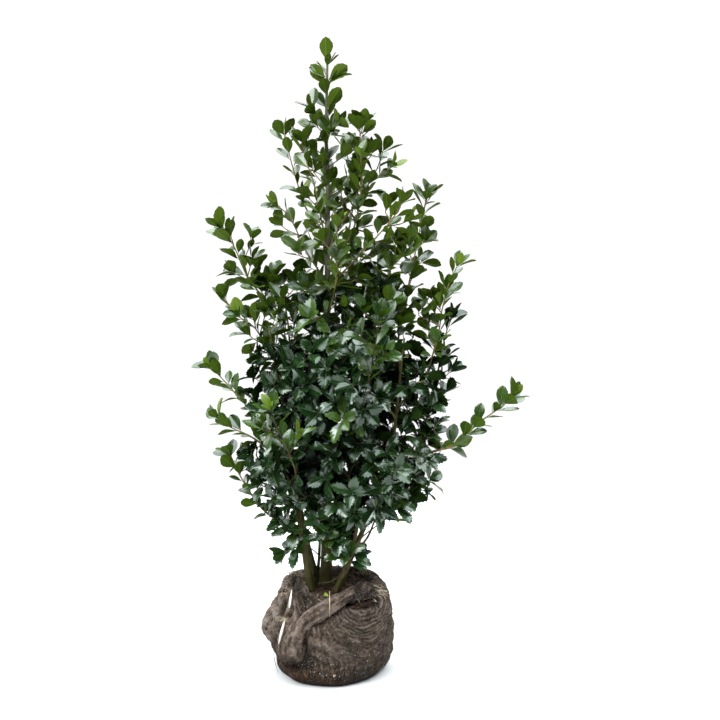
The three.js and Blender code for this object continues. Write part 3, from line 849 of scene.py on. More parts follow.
def leafy(piece, pts, r, step=0.014, length=0.050, start=0.0, spread=(58, 38), kind="mid", light=UP, light_w=0.4, turn=0.3,
          skip=0.0, droop=0.0, tuft=5, tuft_spread=(16, 46), tuft_size=(0.72, 0.98), family=ROUND, fresh_tip=0.0):
    """Leaves in a spiral up a twig. spread: angle from the twig at its foot and at its tip."""
    s = arclen(pts)
    total = s[-1]
    ph = r.random() * 6.28
    sh = int(r.integers(3))
    x = start + r.random() * step * 0.6
    k = 0
    t, u, v = frames(pts)
    while x < total - 0.008:
        w = x / max(total, 1e-6)
        q = np.array([np.interp(x, s, pts[:, c]) for c in range(3)])
        i = min(int(np.searchsorted(s, x)), len(pts) - 1)
        tt, uu, vv = t[i], u[i], v[i]
        ang = ph + k * 2.3999 + r.normal(0, 0.2)
        k += 1
        x += step * (1 + r.normal(0, 0.18))
        if r.random() < skip:
            continue
        R = uu * np.cos(ang) + vv * np.sin(ang)
        a = math.radians(spread[0] + (spread[1] - spread[0]) * w + r.normal(0, 9))
        axis = norm(tt * math.cos(a) + R * math.sin(a) - UP * droop)
        nrm = (1 - light_w) * (tt * math.sin(a) - R * math.cos(a)) + light_w * light
        roll_ = r.normal(0, turn)
        nrm = nrm + np.cross(axis, nrm) * math.tan(np.clip(roll_, -1.2, 1.2))
        L = length * (1.02 - 0.45 * r.random() ** 2.2)
        L *= 0.8 if w < 0.06 else 1.0
        s2 = sh if r.random() < 0.75 else int(r.integers(3))
        put_leaf(piece, q + axis * (0.13 * L + 0.001), axis, nrm, L, kind, s2, r, 0.92 + 0.18 * r.random(), family)
    q, tt, uu, vv = pts[-1], t[-1], u[-1], v[-1]
    for i in range(tuft):
        ang = ph + (k + i) * 2.3999 + r.normal(0, 0.2)
        R = uu * np.cos(ang) + vv * np.sin(ang)
        w = 1 - i / max(tuft - 1, 1)
        a = math.radians(tuft_spread[0] + (tuft_spread[1] - tuft_spread[0]) * w + r.normal(0, 6))
        axis = norm(tt * math.cos(a) + R * math.sin(a) - UP * droop * w)
        nrm = (1 - light_w * 0.7) * (tt * math.sin(a) - R * math.cos(a)) + light * light_w * 0.7
        nrm = nrm + np.cross(axis, nrm) * math.tan(np.clip(r.normal(0, turn), -1.2, 1.2))
        L = length * (tuft_size[0] + (tuft_size[1] - tuft_size[0]) * w) * (1 + r.normal(0, 0.06))
        if i == tuft - 1 and tuft > 3:
            L *= 0.62
        kd = "fresh" if fresh_tip and r.random() < fresh_tip else kind
        put_leaf(piece, q - tt * 0.004 * w + axis * (0.10 * L), axis, nrm, L, kd, sh, r, 0.9 + 0.15 * r.random(), family)


def chain_points(ids, tail=None):
    p = PP[ids]
    if tail is not None:
        s = arclen(p)
        keep = s >= s[-1] - tail
        if keep.sum() < 3:
            keep[-3:] = True
        p = p[keep]
    return p


# pieces by part of the crown
def region(name):
    if "left" in name and ("back" not in name and "front" not in name) and "top" not in name and not name.startswith("leaves_low_left"):
        return "leaves_on_left_shoots"
    if name in ("leaves_low_left_reach", "leaves_low_right_reach"):
        return "leaves_on_left_shoots" if "left" in name else "leaves_on_right_shoots"
    if "right" in name and ("back" not in name and "front" not in name) and "top" not in name and "edge" not in name and "foot" not in name:
        return "leaves_on_right_shoots"
    if name.startswith(("leaves_top_left", "leaves_top_right", "leaves_top_back", "leaves_top_front", "leaves_tip", "leaves_spire")):
        return "leaves_on_spire"
    if "back" in name or "front" in name:
        return "leaves_on_front_and_back_shoots"
    if name.startswith(("leaves_low_middle", "leaves_low_right_foot", "leaves_low_left")):
        return "leaves_low_down"
    if name.startswith("leaves_low_"):
        return "leaves_body_low"
    if name.startswith("leaves_middle"):
        return "leaves_body_middle"
    if name == "leaves_right_edge":
        return "leaves_on_right_shoots"
    return "leaves_body_high"


# ---- leaves on the outlying shoots
def seed_of(name):
    return sum(map(ord, name)) * 7 + len(name)


side_twigs = []
SIDE = {"leaves_right_tall": 5, "leaves_right_outer": 4, "leaves_right_edge": 8, "leaves_left_big": 5, "leaves_left_upper": 3, "leaves_top_back": 4,
        "leaves_top_front": 3, "leaves_back_left": 4, "leaves_back_right": 4, "leaves_front_left": 3, "leaves_front_right": 3,
        "leaves_top_right_side": 3, "leaves_top_right_middle": 3, "leaves_top_right_outer": 5, "leaves_top_left_side": 1}
for name, (ids, leafy_len) in shoot_info.items():
    r = np.random.default_rng(seed_of(name))
    piece = region(name)
    pts = chain_points(ids, leafy_len)
    z = pts[-1][2]
    # the upper shoots' 'young' and 'mid' leaves are lighter partly as young growth and partly as painted light shining
    # through them
    kind = "young" if z > 1.05 else "mid" if z > 0.5 and "edge" not in name else "dark"
    if name.startswith("leaves_low"):
        kind = "dark"
    fam = ROUND if z > 0.85 or "left" in name or "right" in name else TOOTHED
    small = 0.86 if "low" in name else 1.12 if name == "leaves_left_big" else 1.0
    leafy(piece, pts, r, step=0.0140, length=0.049 * small, spread=(58, 36), kind=kind, light_w=0.35 if z > 1.0 else 0.5, turn=0.42,
          droop=0.0 if z > 0.6 else 0.15, tuft=5, family=fam, fresh_tip=0.12 if kind != "dark" else 0.0)
    nside = SIDE.get(name, 0)
    t, u, v = frames(pts)
    for k in range(nside):
        w = (k + 0.3 + 0.4 * r.random()) / max(nside, 1) * 0.72
        i = int(w * (len(pts) - 1))
        ang = r.random() * 6.28
        R = u[i] * np.cos(ang) + v[i] * np.sin(ang)
        d0 = norm(t[i] * 0.8 + R * 0.8)
        L = (0.045 + 0.035 * r.random()) * (0.6 if pts[i][0] > 0.2 and R[0] > 0.2 else 1.0)
        end = pts[i] + d0 * L
        q = hermite(pts[i], d0 * L, end, norm(d0 + UP * 0.5) * L, 7)
        side_twigs.append(q)
        leafy(piece, q, r, step=0.015, length=0.046, start=0.018, spread=(58, 40), kind=kind, light_w=0.4, turn=0.4, tuft=4, family=fam, fresh_tip=0.1 if kind != "dark" else 0.0)

# ---- clusters low down between the stems, each on a twig of its own from the nearest stem
LOW = [((-4, -98, 362), (-0.1, -0.8, 0.35)), ((22, -100, 358), (0.25, -0.8, 0.3)), ((12, -90, 386), (0.0, -0.7, 0.6)), ((-24, -84, 394), (-0.4, -0.6, 0.5)), ((44, -88, 396), (0.5, -0.6, 0.5)),
       ((-112, -52, 388), (-0.6, -0.3, 0.6)), ((-94, -70, 372), (-0.2, -0.7, 0.4)), ((-77, -56, 322), (-0.4, -0.7, -0.1)),
       ((-134, -50, 424), (-0.7, -0.3, 0.5)), ((250, -20, 482), (0.7, -0.4, 0.2)), ((240, 6, 452), (0.6, -0.3, 0.0)),
       ((62, -74, 306), (0.5, -0.7, 0.15)), ((40, -84, 322), (0.1, -0.8, 0.1)), ((138, -70, 424), (0.6, -0.5, 0.5)),
       ((237, -50, 600), (0.3, -0.5, 0.6)), ((240, -60, 545), (0.4, -0.6, 0.2)), ((201, -54, 500), (0.5, -0.6, 0.2)), ((262, -30, 622), (0.6, -0.2, 0.7)), ((215, -66, 560), (0.3, -0.8, 0.4)),
       ((190, -76, 606), (0.2, -0.8, 0.5)), ((224, -62, 648), (0.3, -0.6, 0.6)), ((248, -16, 572), (0.8, -0.1, 0.4)), ((178, -62, 528), (0.3, -0.7, 0.3)), ((212, 14, 530), (0.8, 0.2, 0.3)),
       ((232, 34, 590), (0.8, 0.4, 0.4)), ((252, -48, 668), (0.5, -0.5, 0.6)), ((168, -44, 478), (0.5, -0.5, 0.1)),
       ((40, 70, 372), (0.2, 0.8, 0.4)), ((-30, 84, 378), (-0.2, 0.8, 0.4)), ((4, 92, 350), (0.0, 0.8, 0.2)), ((96, 66, 390), (0.7, 0.5, 0.4)), ((-96, 70, 394), (-0.7, 0.5, 0.4)),
       ((176, -62, 1032), (0.2, -0.5, 0.8)), ((152, -70, 1004), (-0.2, -0.5, 0.8)), ((198, -48, 1060), (0.2, -0.3, 0.9)), ((162, -40, 1064), (0.0, -0.2, 0.9)),
       ((-176, -24, 960), (0.1, -0.4, 0.9)), ((-148, -20, 968), (0.4, -0.4, 0.8)), ((-128, -30, 985), (0.3, -0.3, 0.9)), ((-70, -60, 1046), (0.3, -0.5, 0.8)),
       ((222, -20, 900), (0.5, -0.4, 0.7)), ((258, 0, 932), (0.4, -0.3, 0.8)), ((144, -10, 1158), (0.4, -0.3, 0.8)), ((240, 20, 1176), (0.1, -0.3, 0.9)),
       ((22, -30, 1350), (0.4, -0.4, 0.7)), ((107, -10, 1286), (0.2, -0.3, 0.9)), ((84, -20, 1350), (0.0, -0.3, 0.9)), ((-26, -20, 1350), (-0.3, -0.4, 0.8)),
       ((-198, -4, 846), (-0.3, -0.4, 0.7)), ((-186, -10, 884), (-0.3, -0.4, 0.7)), ((-231, 0, 996), (-0.6, -0.3, 0.6)), ((-241, -4, 1088), (-0.4, -0.3, 0.8))]
stem_ids = [i for c in plant.chains if c["kind"] in stems or c["kind"] in open_limbs for i in c["ids"]]
SP = np.array([plant.p[i] for i in stem_ids])
for k, (end, way) in enumerate(LOW):
    r = np.random.default_rng(880 + k)
    e = np.array(end, float) * MM
    d = norm(np.array(way, float))
    v = e - SP
    L = np.linalg.norm(v, axis=1)
    wood = SP
    if e[2] > 0.8:
        v, wood = e - PP, PP
        L = np.linalg.norm(v, axis=1)
    j = int(np.argmin(L + 1.5 * np.maximum(0, 0.03 - v[:, 2])))
    L = L[j]
    q = hermite(wood[j], norm(norm(v[j]) + UP * 0.4) * L, e, d * L, max(6, int(L / 0.012)))
    side_twigs.append(q)
    high = e[2] > 0.84
    # painted light: most low clusters get the lighter 'open' leaves, standing in for the light they catch out in the
    # open
    leafy("leaves_low_down" if not high else "leaves_on_spire", q[-5:] if L > 0.06 else q, r, step=0.016, length=0.051, start=0.006, spread=(66, 56) if not high else (56, 40),
          kind="young" if high else "open" if k % 6 else "mid", light=norm(UP * 0.7 + d) if not high else norm(UP + d * 0.4), light_w=0.6 if not high else 0.4, turn=0.25 if not high else 0.4, tuft=5,
          tuft_spread=(24, 66) if not high else (18, 50), family=TOOTHED if not high else ROUND)

# ---- leaves on the open limbs: only where they run through their masses
limb_leaf = {"limb_right_long": ("mid", 0.25), "limb_low_right": ("dark", 0.09), "limb_low_green": ("mid", 0.05), "limb_low_left": ("mid", 0.20), "limb_left_lower": ("mid", 0.15),
             "limb_left_middle": ("mid", 0.20), "limb_front_right": ("dark", 0.06)}
for ch in plant.chains:
    if ch["kind"] in limb_leaf:
        kind, tail = limb_leaf[ch["kind"]]
        r = np.random.default_rng(len(ch["kind"]) * 97)
        pts = chain_points(ch["ids"], tail)
        leafy("leaves_on_left_shoots" if "left" in ch["kind"] else "leaves_on_right_shoots", pts, r, step=0.0122, length=0.049, spread=(56, 36), kind=kind,
              light_w=0.45, turn=0.4, tuft=5, fresh_tip=0.15 if kind == "mid" else 0)

# single leaves at the ends of two limbs
r = np.random.default_rng(5151)
put_leaf("leaves_on_left_shoots", np.array([-0.294, 0.021, 0.758]), np.array([-1.0, -0.12, 0.22]), np.array([0.2, -0.45, 1.0]), 0.050, "mid", 0, r, 0.85)
put_leaf("leaves_on_left_shoots", np.array([-0.288, 0.021, 0.760]), np.array([0.05, -0.20, 1.0]), np.array([0.1, -1.0, -0.25]), 0.042, "mid", 1, r, 1.0)
put_leaf("leaves_on_right_shoots", np.array([0.419, -0.059, 0.674]), np.array([0.15, -0.10, 1.0]), np.array([0.1, -1.0, 0.2]), 0.050, "mid", 1, r, 1.0)
put_leaf("leaves_on_right_shoots", np.array([0.366, -0.0555, 0.635]), np.array([0.10, -0.10, 1.0]), np.array([-0.3, -1.0, 0.3]), 0.046, "mid", 0, r, 1.0)
put_leaf("leaves_on_right_shoots", np.array([0.302, -0.050, 0.5735]), np.array([1.0, -0.22, 0.42]), np.array([0.1, -1.0, 0.55]), 0.058, "young", 1, r, 1.0)
put_leaf("leaves_on_right_shoots", np.array([0.300, -0.0495, 0.5780]), np.array([0.05, -0.15, 1.0]), np.array([0.25, -1.0, 0.2]), 0.052, "mid", 0, r, 1.0)

# ---- the leader's own leaves, from inside the crown to the very tip
tr = [c for c in plant.chains if c["kind"] == "trunk"][0]
tp = chain_points(tr["ids"])
r = np.random.default_rng(4242)
upper = resample(tp[tp[:, 2] > 1.02], 200)
upper = resample(upper[upper[:, 2] < 1.508], 40)
leafy("leaves_on_spire", upper, r, step=0.023, length=0.052, spread=(50, 32), kind="young", light_w=0.25, turn=0.5, tuft=0, skip=0.10)
# its last leaf stands upright, over two that lean away from it
top = upper[-1]
put_leaf("leaves_on_spire", top + (-0.002, 0.0, 0.007), np.array([-0.03, 0.05, 1.0]), np.array([0.1, 1.0, 0.0]), 0.054, "young", 0, r, 1.04)
put_leaf("leaves_on_spire", top + (-0.005, -0.002, -0.052), np.array([-0.62, -0.12, 0.78]), np.array([0.25, 1.0, 0.1]), 0.058, "young", 1, r, 1.0)
put_leaf("leaves_on_spire", top + (0.005, -0.001, -0.042), np.array([0.80, -0.10, 0.60]), np.array([-0.15, 1.0, 0.2]), 0.056, "young", 1, r, 0.95)
put_leaf("leaves_on_spire", top + (0.003, -0.003, -0.108), np.array([0.52, -0.10, 0.85]), np.array([-0.15, 1.0, 0.2]), 0.056, "young", 0, r, 0.95)
put_leaf("leaves_on_spire", top + (-0.004, 0.000, -0.108), np.array([-0.60, 0.10, 0.75]), np.array([0.25, -1.0, 0.2]), 0.050, "young", 2, r, 0.95)
put_leaf("leaves_on_spire", top + (-0.003, 0.003, -0.018), np.array([-0.55, 0.25, 0.60]), np.array([0.6, -0.5, 0.7]), 0.036, "young", 0, r, 0.8)
put_leaf("leaves_on_spire", top + (0.006, -0.002, -0.046), np.array([1.0, -0.05, 0.52]), np.array([-0.5, 0.2, 0.9]), 0.058, "young", 2, r, 0.7)
put_leaf("leaves_on_spire", top + (0.002, 0.004, -0.006), np.array([0.75, 0.3, 0.65]), np.array([-0.8, 0.1, 0.6]), 0.040, "young", 2, r, 0.8)

put_leaf("leaves_on_spire", top + (-0.004, -0.002, -0.036), np.array([-0.75, -0.15, 0.45]), np.array([0.35, -0.7, 0.6]), 0.046, "young", 0, r, 1.0)
put_leaf("leaves_on_spire", top + (0.005, -0.002, -0.050), np.array([0.80, -0.15, 0.62]), np.array([-0.3, -0.8, 0.5]), 0.052, "young", 1, r, 1.0)
put_leaf("leaves_on_spire", top + (0.004, 0.002, -0.004), np.array([0.62, 0.1, 0.85]), np.array([-0.8, -0.2, 0.6]), 0.034, "young", 2, r, 0.7)

# short spurs with a few leaves up the leader
t, u, v = frames(upper)
NSPUR = 13
for k in range(NSPUR):
    w = (k + 0.5 * r.random()) / NSPUR * 0.75
    i = int(w * (len(upper) - 1))
    ang = k * 2.3999 + r.normal(0, 0.3)
    R = u[i] * np.cos(ang) + v[i] * np.sin(ang)
    L = (0.05 + 0.03 * r.random()) * (1.25 - 0.6 * w)
    d0 = norm(t[i] * 0.85 + R)
    end = upper[i] + d0 * L
    q = hermite(upper[i], d0 * L, end, norm(d0 + UP * 0.7) * L, 7)
    side_twigs.append(q)
    leafy("leaves_on_spire", q, r, step=0.017, length=0.047, start=0.022, spread=(52, 36), kind="young", light_w=0.3, turn=0.4, tuft=4, fresh_tip=0.12)

# ---- the body
for ids, p in twig_info:
    r = np.random.default_rng(int(abs(p[0] * 7919 + p[1] * 104729 + p[2] * 1299709) * 100) % (2 ** 31))
    pts = chain_points(ids, 0.088)
    z = p[2]
    hor = math.hypot(p[0] - axis_x, p[1])
    back = "_back" if p[1] > 0.02 else ""
    piece = ("leaves_body_low" if z < 0.64 else "leaves_body_middle" if z < 0.84 else "leaves_body_high") + back
    # painted light: low in the body most leaves are the lighter 'open' kind, standing in for the light they catch
    kind = ("open" if z < 0.52 and r.random() < 0.6 else "dark") if z < 0.82 else ("mid" if z < 0.96 or r.random() < 0.5 else "young")
    if 0.6 < z < 0.82 and r.random() < 0.14 and hor > 0.17:
        kind = "mid"
    # painted shade: tips deep inside the crown get the near-black 'deep' leaves, where the crown's shade falls
    if deep_of[tuple(np.round(p, 6))] > 0.085 and z < 0.95:
        kind = "deep" if z < 0.78 else "dark"
    out_h = norm(np.array([p[0] - axis_x, p[1], 0.0]))
    light = norm(UP * (0.30 + 1.0 * r.random()) + out_h)
    high = z > 0.9
    leafy(piece, pts, r, step=0.0185, length=0.053, start=0.004, spread=(70, 58) if not high else (60, 42), kind=kind, light=light,
          light_w=0.60 if not high else 0.45, turn=0.38, droop=np.interp(z, [0.45, 0.8, 1.0], [0.30, 0.12, 0.0]), tuft=5,
          tuft_spread=(26, 66) if not high else (18, 48), family=TOOTHED if z < 0.9 else ROUND, fresh_tip=0.04 if kind in ("mid", "young") else 0.01 if kind in ("dark", "open") else 0.0)

count = sum(len(v) for v in leaves.values())
print("scene: leaves", count)


def build_leaves(piece, items):
    used = sorted({KINDS_LIST.index(i[6]) for i in items})
    soup = Soup()
    mats = []
    slot_of = {}
    for ki in used:
        slot_of[KINDS_LIST[ki]] = len(mats)
        mats += leaf_mats[KINDS_LIST[ki]]
    by_shape = {}
    for it in items:
        by_shape.setdefault(it[0], []).append(it)
    for sh, its in by_shape.items():
        v, q, part = shapes[sh]
        O = np.array([i[1] for i in its])
        A = np.array([i[2] for i in its])
        Nn = np.array([i[3] for i in its])
        X = np.cross(A, Nn)
        Ls = np.array([i[4] for i in its])
        Ws = np.array([i[5] for i in its])
        co = (v[None, :, 0:1] * (X * (Ls * Ws)[:, None])[:, None] + v[None, :, 1:2] * (A * Ls[:, None])[:, None]
              + v[None, :, 2:3] * (Nn * Ls[:, None])[:, None] + O[:, None])
        n = len(its)
        f = (q[None] + (np.arange(n) * len(v))[:, None, None]).reshape(-1, 4)
        base = np.array([slot_of[i[6]] for i in its])
        shade = np.array([i[7] for i in its])
        local = np.where(part[None] == 0, shade[:, None], np.where(part[None] == 2, 3 + (shade[:, None] % 2), 5))
        soup.add(co.reshape(-1, 3), f, (base[:, None] + local).reshape(-1))
    print("scene:", piece, len(items), "leaves", soup.tris(), "triangles")
    return soup.build(piece, mats)


KINDS_LIST = list(KINDS)
leaf_objects = {piece: build_leaves(piece, items) for piece, items in leaves.items()}
for piece, o in leaf_objects.items():
    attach(o, "root")
for n in solid_names:
    mine = [leaf_objects[region(n)]]
    if region(n).startswith("leaves_body"):
        mine.append(leaf_objects[region(n) + "_back"])
    for o in mine:
        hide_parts(n)

# =====================================================================================
# wood
# =====================================================================================
bark_stem = bark_material("bark_stem", (0.0080, 0.0064, 0.0018), (0.0520, 0.0435, 0.0140), (0.150, 0.126, 0.064), (0.055, 0.0510, 0.0115), 0.62)
bark_leader = bark_material("bark_leader", (0.066, 0.061, 0.042), (0.126, 0.117, 0.080), (0.215, 0.200, 0.148), (0.085, 0.100, 0.046), 0.35)
bark_twig = bark_material("bark_twig", (0.034, 0.026, 0.010), (0.078, 0.060, 0.024), (0.150, 0.120, 0.060), (0.052, 0.058, 0.018), 0.35, 1.5)


def bark_relief(seed, amount):
    def f(theta, s, pos):
        q = np.stack([np.cos(theta) * 0.9, np.sin(theta) * 0.9, s * 22.0], -1).reshape(-1, 3)
        rough = fbm(q, 3.0, 4, seed)
        ridges = fbm(np.stack([np.cos(theta) * 2.2, np.sin(theta) * 2.2, s * 9.0], -1).reshape(-1, 3), 3.0, 3, seed + 5)
        knots = np.maximum(0, vnoise(np.stack([np.cos(theta) * 0.8, np.sin(theta) * 0.8, s * 26], -1).reshape(-1, 3), 1.0, seed + 9) - 0.45)
        return ((rough * 0.5 + ridges * 0.35 + knots * 1.4) * amount).reshape(theta.shape)
    return f


wood_nodes = [n for n in frame["nodes"] if n == "trunk" or n.startswith(("stem_", "bough_", "pruned"))]
trunk_soup = Soup()
p, rr = limbs["trunk"]
n = 190
pts = resample(p, n)
rads = np.interp(np.linspace(0, 1, n), np.linspace(0, 1, len(rr)), rr)
pts, rads = pts[pts[:, 2] < 1.511], rads[pts[:, 2] < 1.511]
wob = np.stack([fbm(pts, 6, 3, 31), fbm(pts + 5, 6, 3, 32), pts[:, 2] * 0], 1) * 0.0035
wob *= np.minimum(1, (pts[:, 2] - SOIL) / 0.15)[:, None]
pts_t = pts + wob
pts_t[0] = pts[0]


def flare_relief(seed, amount, foot=0.004, lobes=5):
    base = bark_relief(seed, 1.0)

    def f(theta, s, pos):
        h = np.exp(-s / 0.035)
        return base(theta, s, pos) * amount(s) + foot * h * np.cos(lobes * theta + seed)
    return f


add_tube(trunk_soup, pts_t, rads, 18, cap0=False, relief=flare_relief(3, lambda s: np.interp(s, [0, 0.5, 1.3], [0.0011, 0.0006, 0.0002])))
trunk_obj = trunk_soup.build("trunk_bark", [bark_leader, bark_stem])
me = trunk_obj.data
cz = np.array([(pl.center[2]) for pl in me.polygons])
me.polygons.foreach_set("material_index", (cz < 0.52).astype(np.int32))
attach(trunk_obj, "root")
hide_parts("trunk")

stem_soup = Soup()
for k, name in enumerate(n for n in stems if n != "trunk"):
    p, rr = limbs[name]
    n = max(40, int(arclen(p)[-1] / 0.008))
    pts = resample(p, n)
    rads = np.interp(np.linspace(0, 1, n), np.linspace(0, 1, len(rr)), rr)
    wob = np.stack([fbm(pts + k, 8, 3, 51 + k), fbm(pts + 5 + k, 8, 3, 52), pts[:, 2] * 0], 1) * 0.004
    wob *= np.minimum(1, (pts[:, 2] - SOIL) / 0.1)[:, None]
    add_tube(stem_soup, pts + wob, rads, 14, relief=flare_relief(11 + k, lambda s: np.interp(s, [0, 0.4, 0.8], [0.0010, 0.0006, 0.0002]), 0.0022, 4))
# the pruned stub, capped with a low cone at its cut end
stub = arc((-32, -20, 212), (-42, -26, 246), 0, 0, 10)
add_tube(stem_soup, stub, np.linspace(6.0, 4.6, 10) * MM, 12, relief=bark_relief(91, 0.0007))
for mark, r0, r1 in (([(-33, 20, 206), (-30, 16, 236), (-26, 12, 272), (-24, 10, 312), (-22, 10, 380)], 4.6, 3.0),
                     ([(-40, 12, 214), (-26, -34, 226), (8, -66, 240), (40, -62, 262), (56, -66, 296), (60, -70, 330)], 2.0, 1.1),
                     ([(30, 30, 206), (44, 10, 240), (70, -10, 268), (96, -20, 290)], 2.0, 1.0)):
    q = catmull(np.array(mark, float) * MM, 7)
    add_tube(stem_soup, q, np.linspace(r0, r1, len(q)) * MM, 8, relief=bark_relief(97, 0.0003))
stem_obj = stem_soup.build("stems_bark", [bark_stem])
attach(stem_obj, "root")
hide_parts(*[n for n in wood_nodes if n.startswith(("stem_", "pruned"))])

bough_soup, twig_soup = Soup(), Soup()
for ch in plant.chains:
    if ch["kind"] in stems:
        continue
    ids = ch["ids"]
    if ch["parent"] >= 0:
        ids = [ch["parent"]] + ids[1:] if np.linalg.norm(PP[ch["parent"]] - PP[ids[0]]) < 1e-6 else [ch["parent"]] + ids
    pts, rads = PP[ids].copy(), rad[ids].copy()
    rads[0] = min(rads[0], rads[1] * 1.35)
    L = arclen(pts)[-1]
    big = ch["kind"] != "twig"
    if ch["kind"] in shoot_info:
        rads = np.maximum(rads, np.linspace(0.0026, 0.0012, len(rads)) * np.interp(L, [0.1, 0.3], [0.7, 1.0]))
    if big:
        n = max(10, int(L / 0.010))
        q = resample(pts, n)
        rq = np.interp(np.linspace(0, 1, n), np.linspace(0, 1, len(rads)), rads)
        rq = np.minimum(rq, 0.0060)
        add_tube(bough_soup, q, rq, 9, relief=bark_relief(200 + len(bough_soup.v), 0.0003))
    else:
        add_tube(twig_soup, pts, np.minimum(rads, 0.0045), 5)
for q in side_twigs:
    add_tube(twig_soup, q, np.linspace(0.0017, 0.0011, len(q)), 5)
print("scene: boughs", bough_soup.tris(), "twigs", twig_soup.tris())
young_wood = leaf_material("bark_young_shoot", (0.205, 0.145, 0.062), 0.55, 0.0, 0.3, 0.15)
green_wood = leaf_material("bark_green_twig", (0.165, 0.160, 0.042), 0.55, 0.0, 0.3, 0.15)


def lighter_outside(o):
    """The wood of the free shoots is young: brown or green in place of the older bark."""
    n = len(o.data.polygons)
    c = np.zeros(n * 3)
    o.data.polygons.foreach_get("center", c)
    c = c.reshape(-1, 3)
    out = (c[:, 2] > 0.90 + 0.02 * np.sin(c[:, 0] * 60)) | (np.abs(c[:, 0] - 0.01) > 0.205)
    pick = np.floor(c[:, 0] * 17 + c[:, 1] * 11 + 40).astype(int) % 3 == 0
    o.data.polygons.foreach_set("material_index", np.where(out, np.where(pick, 2, 1), 0).astype(np.int32))


bough_obj = bough_soup.build("boughs_bark", [bark_twig, young_wood, green_wood])
lighter_outside(bough_obj)
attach(bough_obj, "root")
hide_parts(*[n for n in wood_nodes if n.startswith("bough_")])
twig_obj = twig_soup.build("twigs", [bark_twig, young_wood, green_wood])
lighter_outside(twig_obj)
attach(twig_obj, "root")

# =====================================================================================
# the root ball
# =====================================================================================
BALL_PROFILE = [(0.0, 132), (6, 138), (22, 146), (66, 153), (112, 157), (152, 154), (190, 143), (206, 133), (216, 121), (222, 109), (220, 100), (212, 94), (203, 90), (198, 88)]
# bulges and hollows of the whole ball: bearing, height, half widths (degrees, mm), mm outwards
BULGES = [
    (-172, 118, 24, 26, 9), (-168, 76, 14, 14, -3), (178, 40, 34, 30, -13), (-150, 14, 28, 26, -12), (-176, 192, 36, 34, -17),
    (-124, 2, 26, 16, -6), (-40, 4, 30, 16, -6), (2, 62, 40, 46, 6), (18, 192, 42, 26, 8), (50, 214, 26, 18, 13), (140, 214, 30, 18, 8),
]


def ball_radius_curve(n):
    z = np.array([a for a, b in BALL_PROFILE], float)
    rr_ = np.array([b for a, b in BALL_PROFILE], float)
    p = catmull(np.stack([rr_, np.zeros(len(z)), z], 1), 10)
    s = arclen(p)
    q = np.linspace(0, s[-1], n)
    return np.interp(q, s, p[:, 0]) * MM, np.interp(q, s, p[:, 2]) * MM


def ball_lump(a, z):
    """What the ball's radius gains at bearing a (radians) and height z (mm), in mm."""
    h = z / 222.0
    out = 1.8 * np.sin(3 * a + 0.6 + 1.8 * h) + 1.6 * np.cos(5 * a - 1.1 - 2.2 * h) + 1.2 * np.sin(8 * a + 4 * h)
    for deg, zb, wa, wz, mm in BULGES:
        da = (a - math.radians(deg) + np.pi) % (2 * np.pi) - np.pi
        out = out + mm * np.exp(-(da / math.radians(wa)) ** 2 - ((z - zb) / wz) ** 2)
    return out


def ball_point(deg, z, out=0.0):
    """A point on the plain ball at a bearing in degrees and a height in mm, out mm off it."""
    zz = np.array([a for a, b in BALL_PROFILE[:10]], float)
    rr_ = np.array([b for a, b in BALL_PROFILE[:10]], float)
    a = math.radians(deg)
    r_ = (np.interp(z, zz, rr_) + ball_lump(a, z)) * MM
    p = np.array([r_ * math.cos(a), r_ * math.sin(a), z * MM])
    dr_ = (np.interp(z + 4, zz, rr_) - np.interp(z - 4, zz, rr_)) / 8.0
    nn = norm(np.array([math.cos(a), math.sin(a), -max(dr_, -3.0)]))
    return p + nn * out * MM


def seg_dist(P, poly):
    """Distance from points to a polyline, and how far along (0..1) the nearest place is."""
    best = np.full(len(P), 1e9)
    along = np.zeros(len(P))
    s = arclen(poly)
    for i in range(len(poly) - 1):
        a, b = poly[i], poly[i + 1]
        d = b - a
        t = np.clip(((P - a) @ d) / max(d @ d, 1e-12), 0, 1)
        dist = np.linalg.norm(P - (a + t[:, None] * d), axis=1)
        m = dist < best
        best = np.where(m, dist, best)
        along = np.where(m, (s[i] + t * (s[i + 1] - s[i])) / s[-1], along)
    return best, along


def line_on_ball(marks, out=0.0):
    """A smooth line through (bearing, height[, mm off the ball]) marks."""
    p = np.array([ball_point(m[0], m[1], (m[2] if len(m) > 2 else 0.0) + out) for m in marks])
    return catmull(p, 6)


NA, NH = 430, 190
br, bz = ball_radius_curve(NH)
A = np.linspace(0, 2 * np.pi, NA, endpoint=False)
AA, HH = np.meshgrid(A, np.arange(NH), indexing="xy")
R0 = br[HH] + ball_lump(AA, bz[HH] * 1000) * MM
P = np.stack([R0 * np.cos(AA), R0 * np.sin(AA), bz[HH]], -1).reshape(-1, 3)
# outward direction of the turned profile
dr, dz = np.gradient(br), np.gradient(bz)
nl = np.hypot(dr, dz)
nr, nz = dz / nl, -dr / nl
NRM = np.stack([nr[HH] * np.cos(AA), nr[HH] * np.sin(AA), nz[HH]], -1).reshape(-1, 3)
BEAR = np.degrees(AA).reshape(-1)
D = np.zeros(len(P))

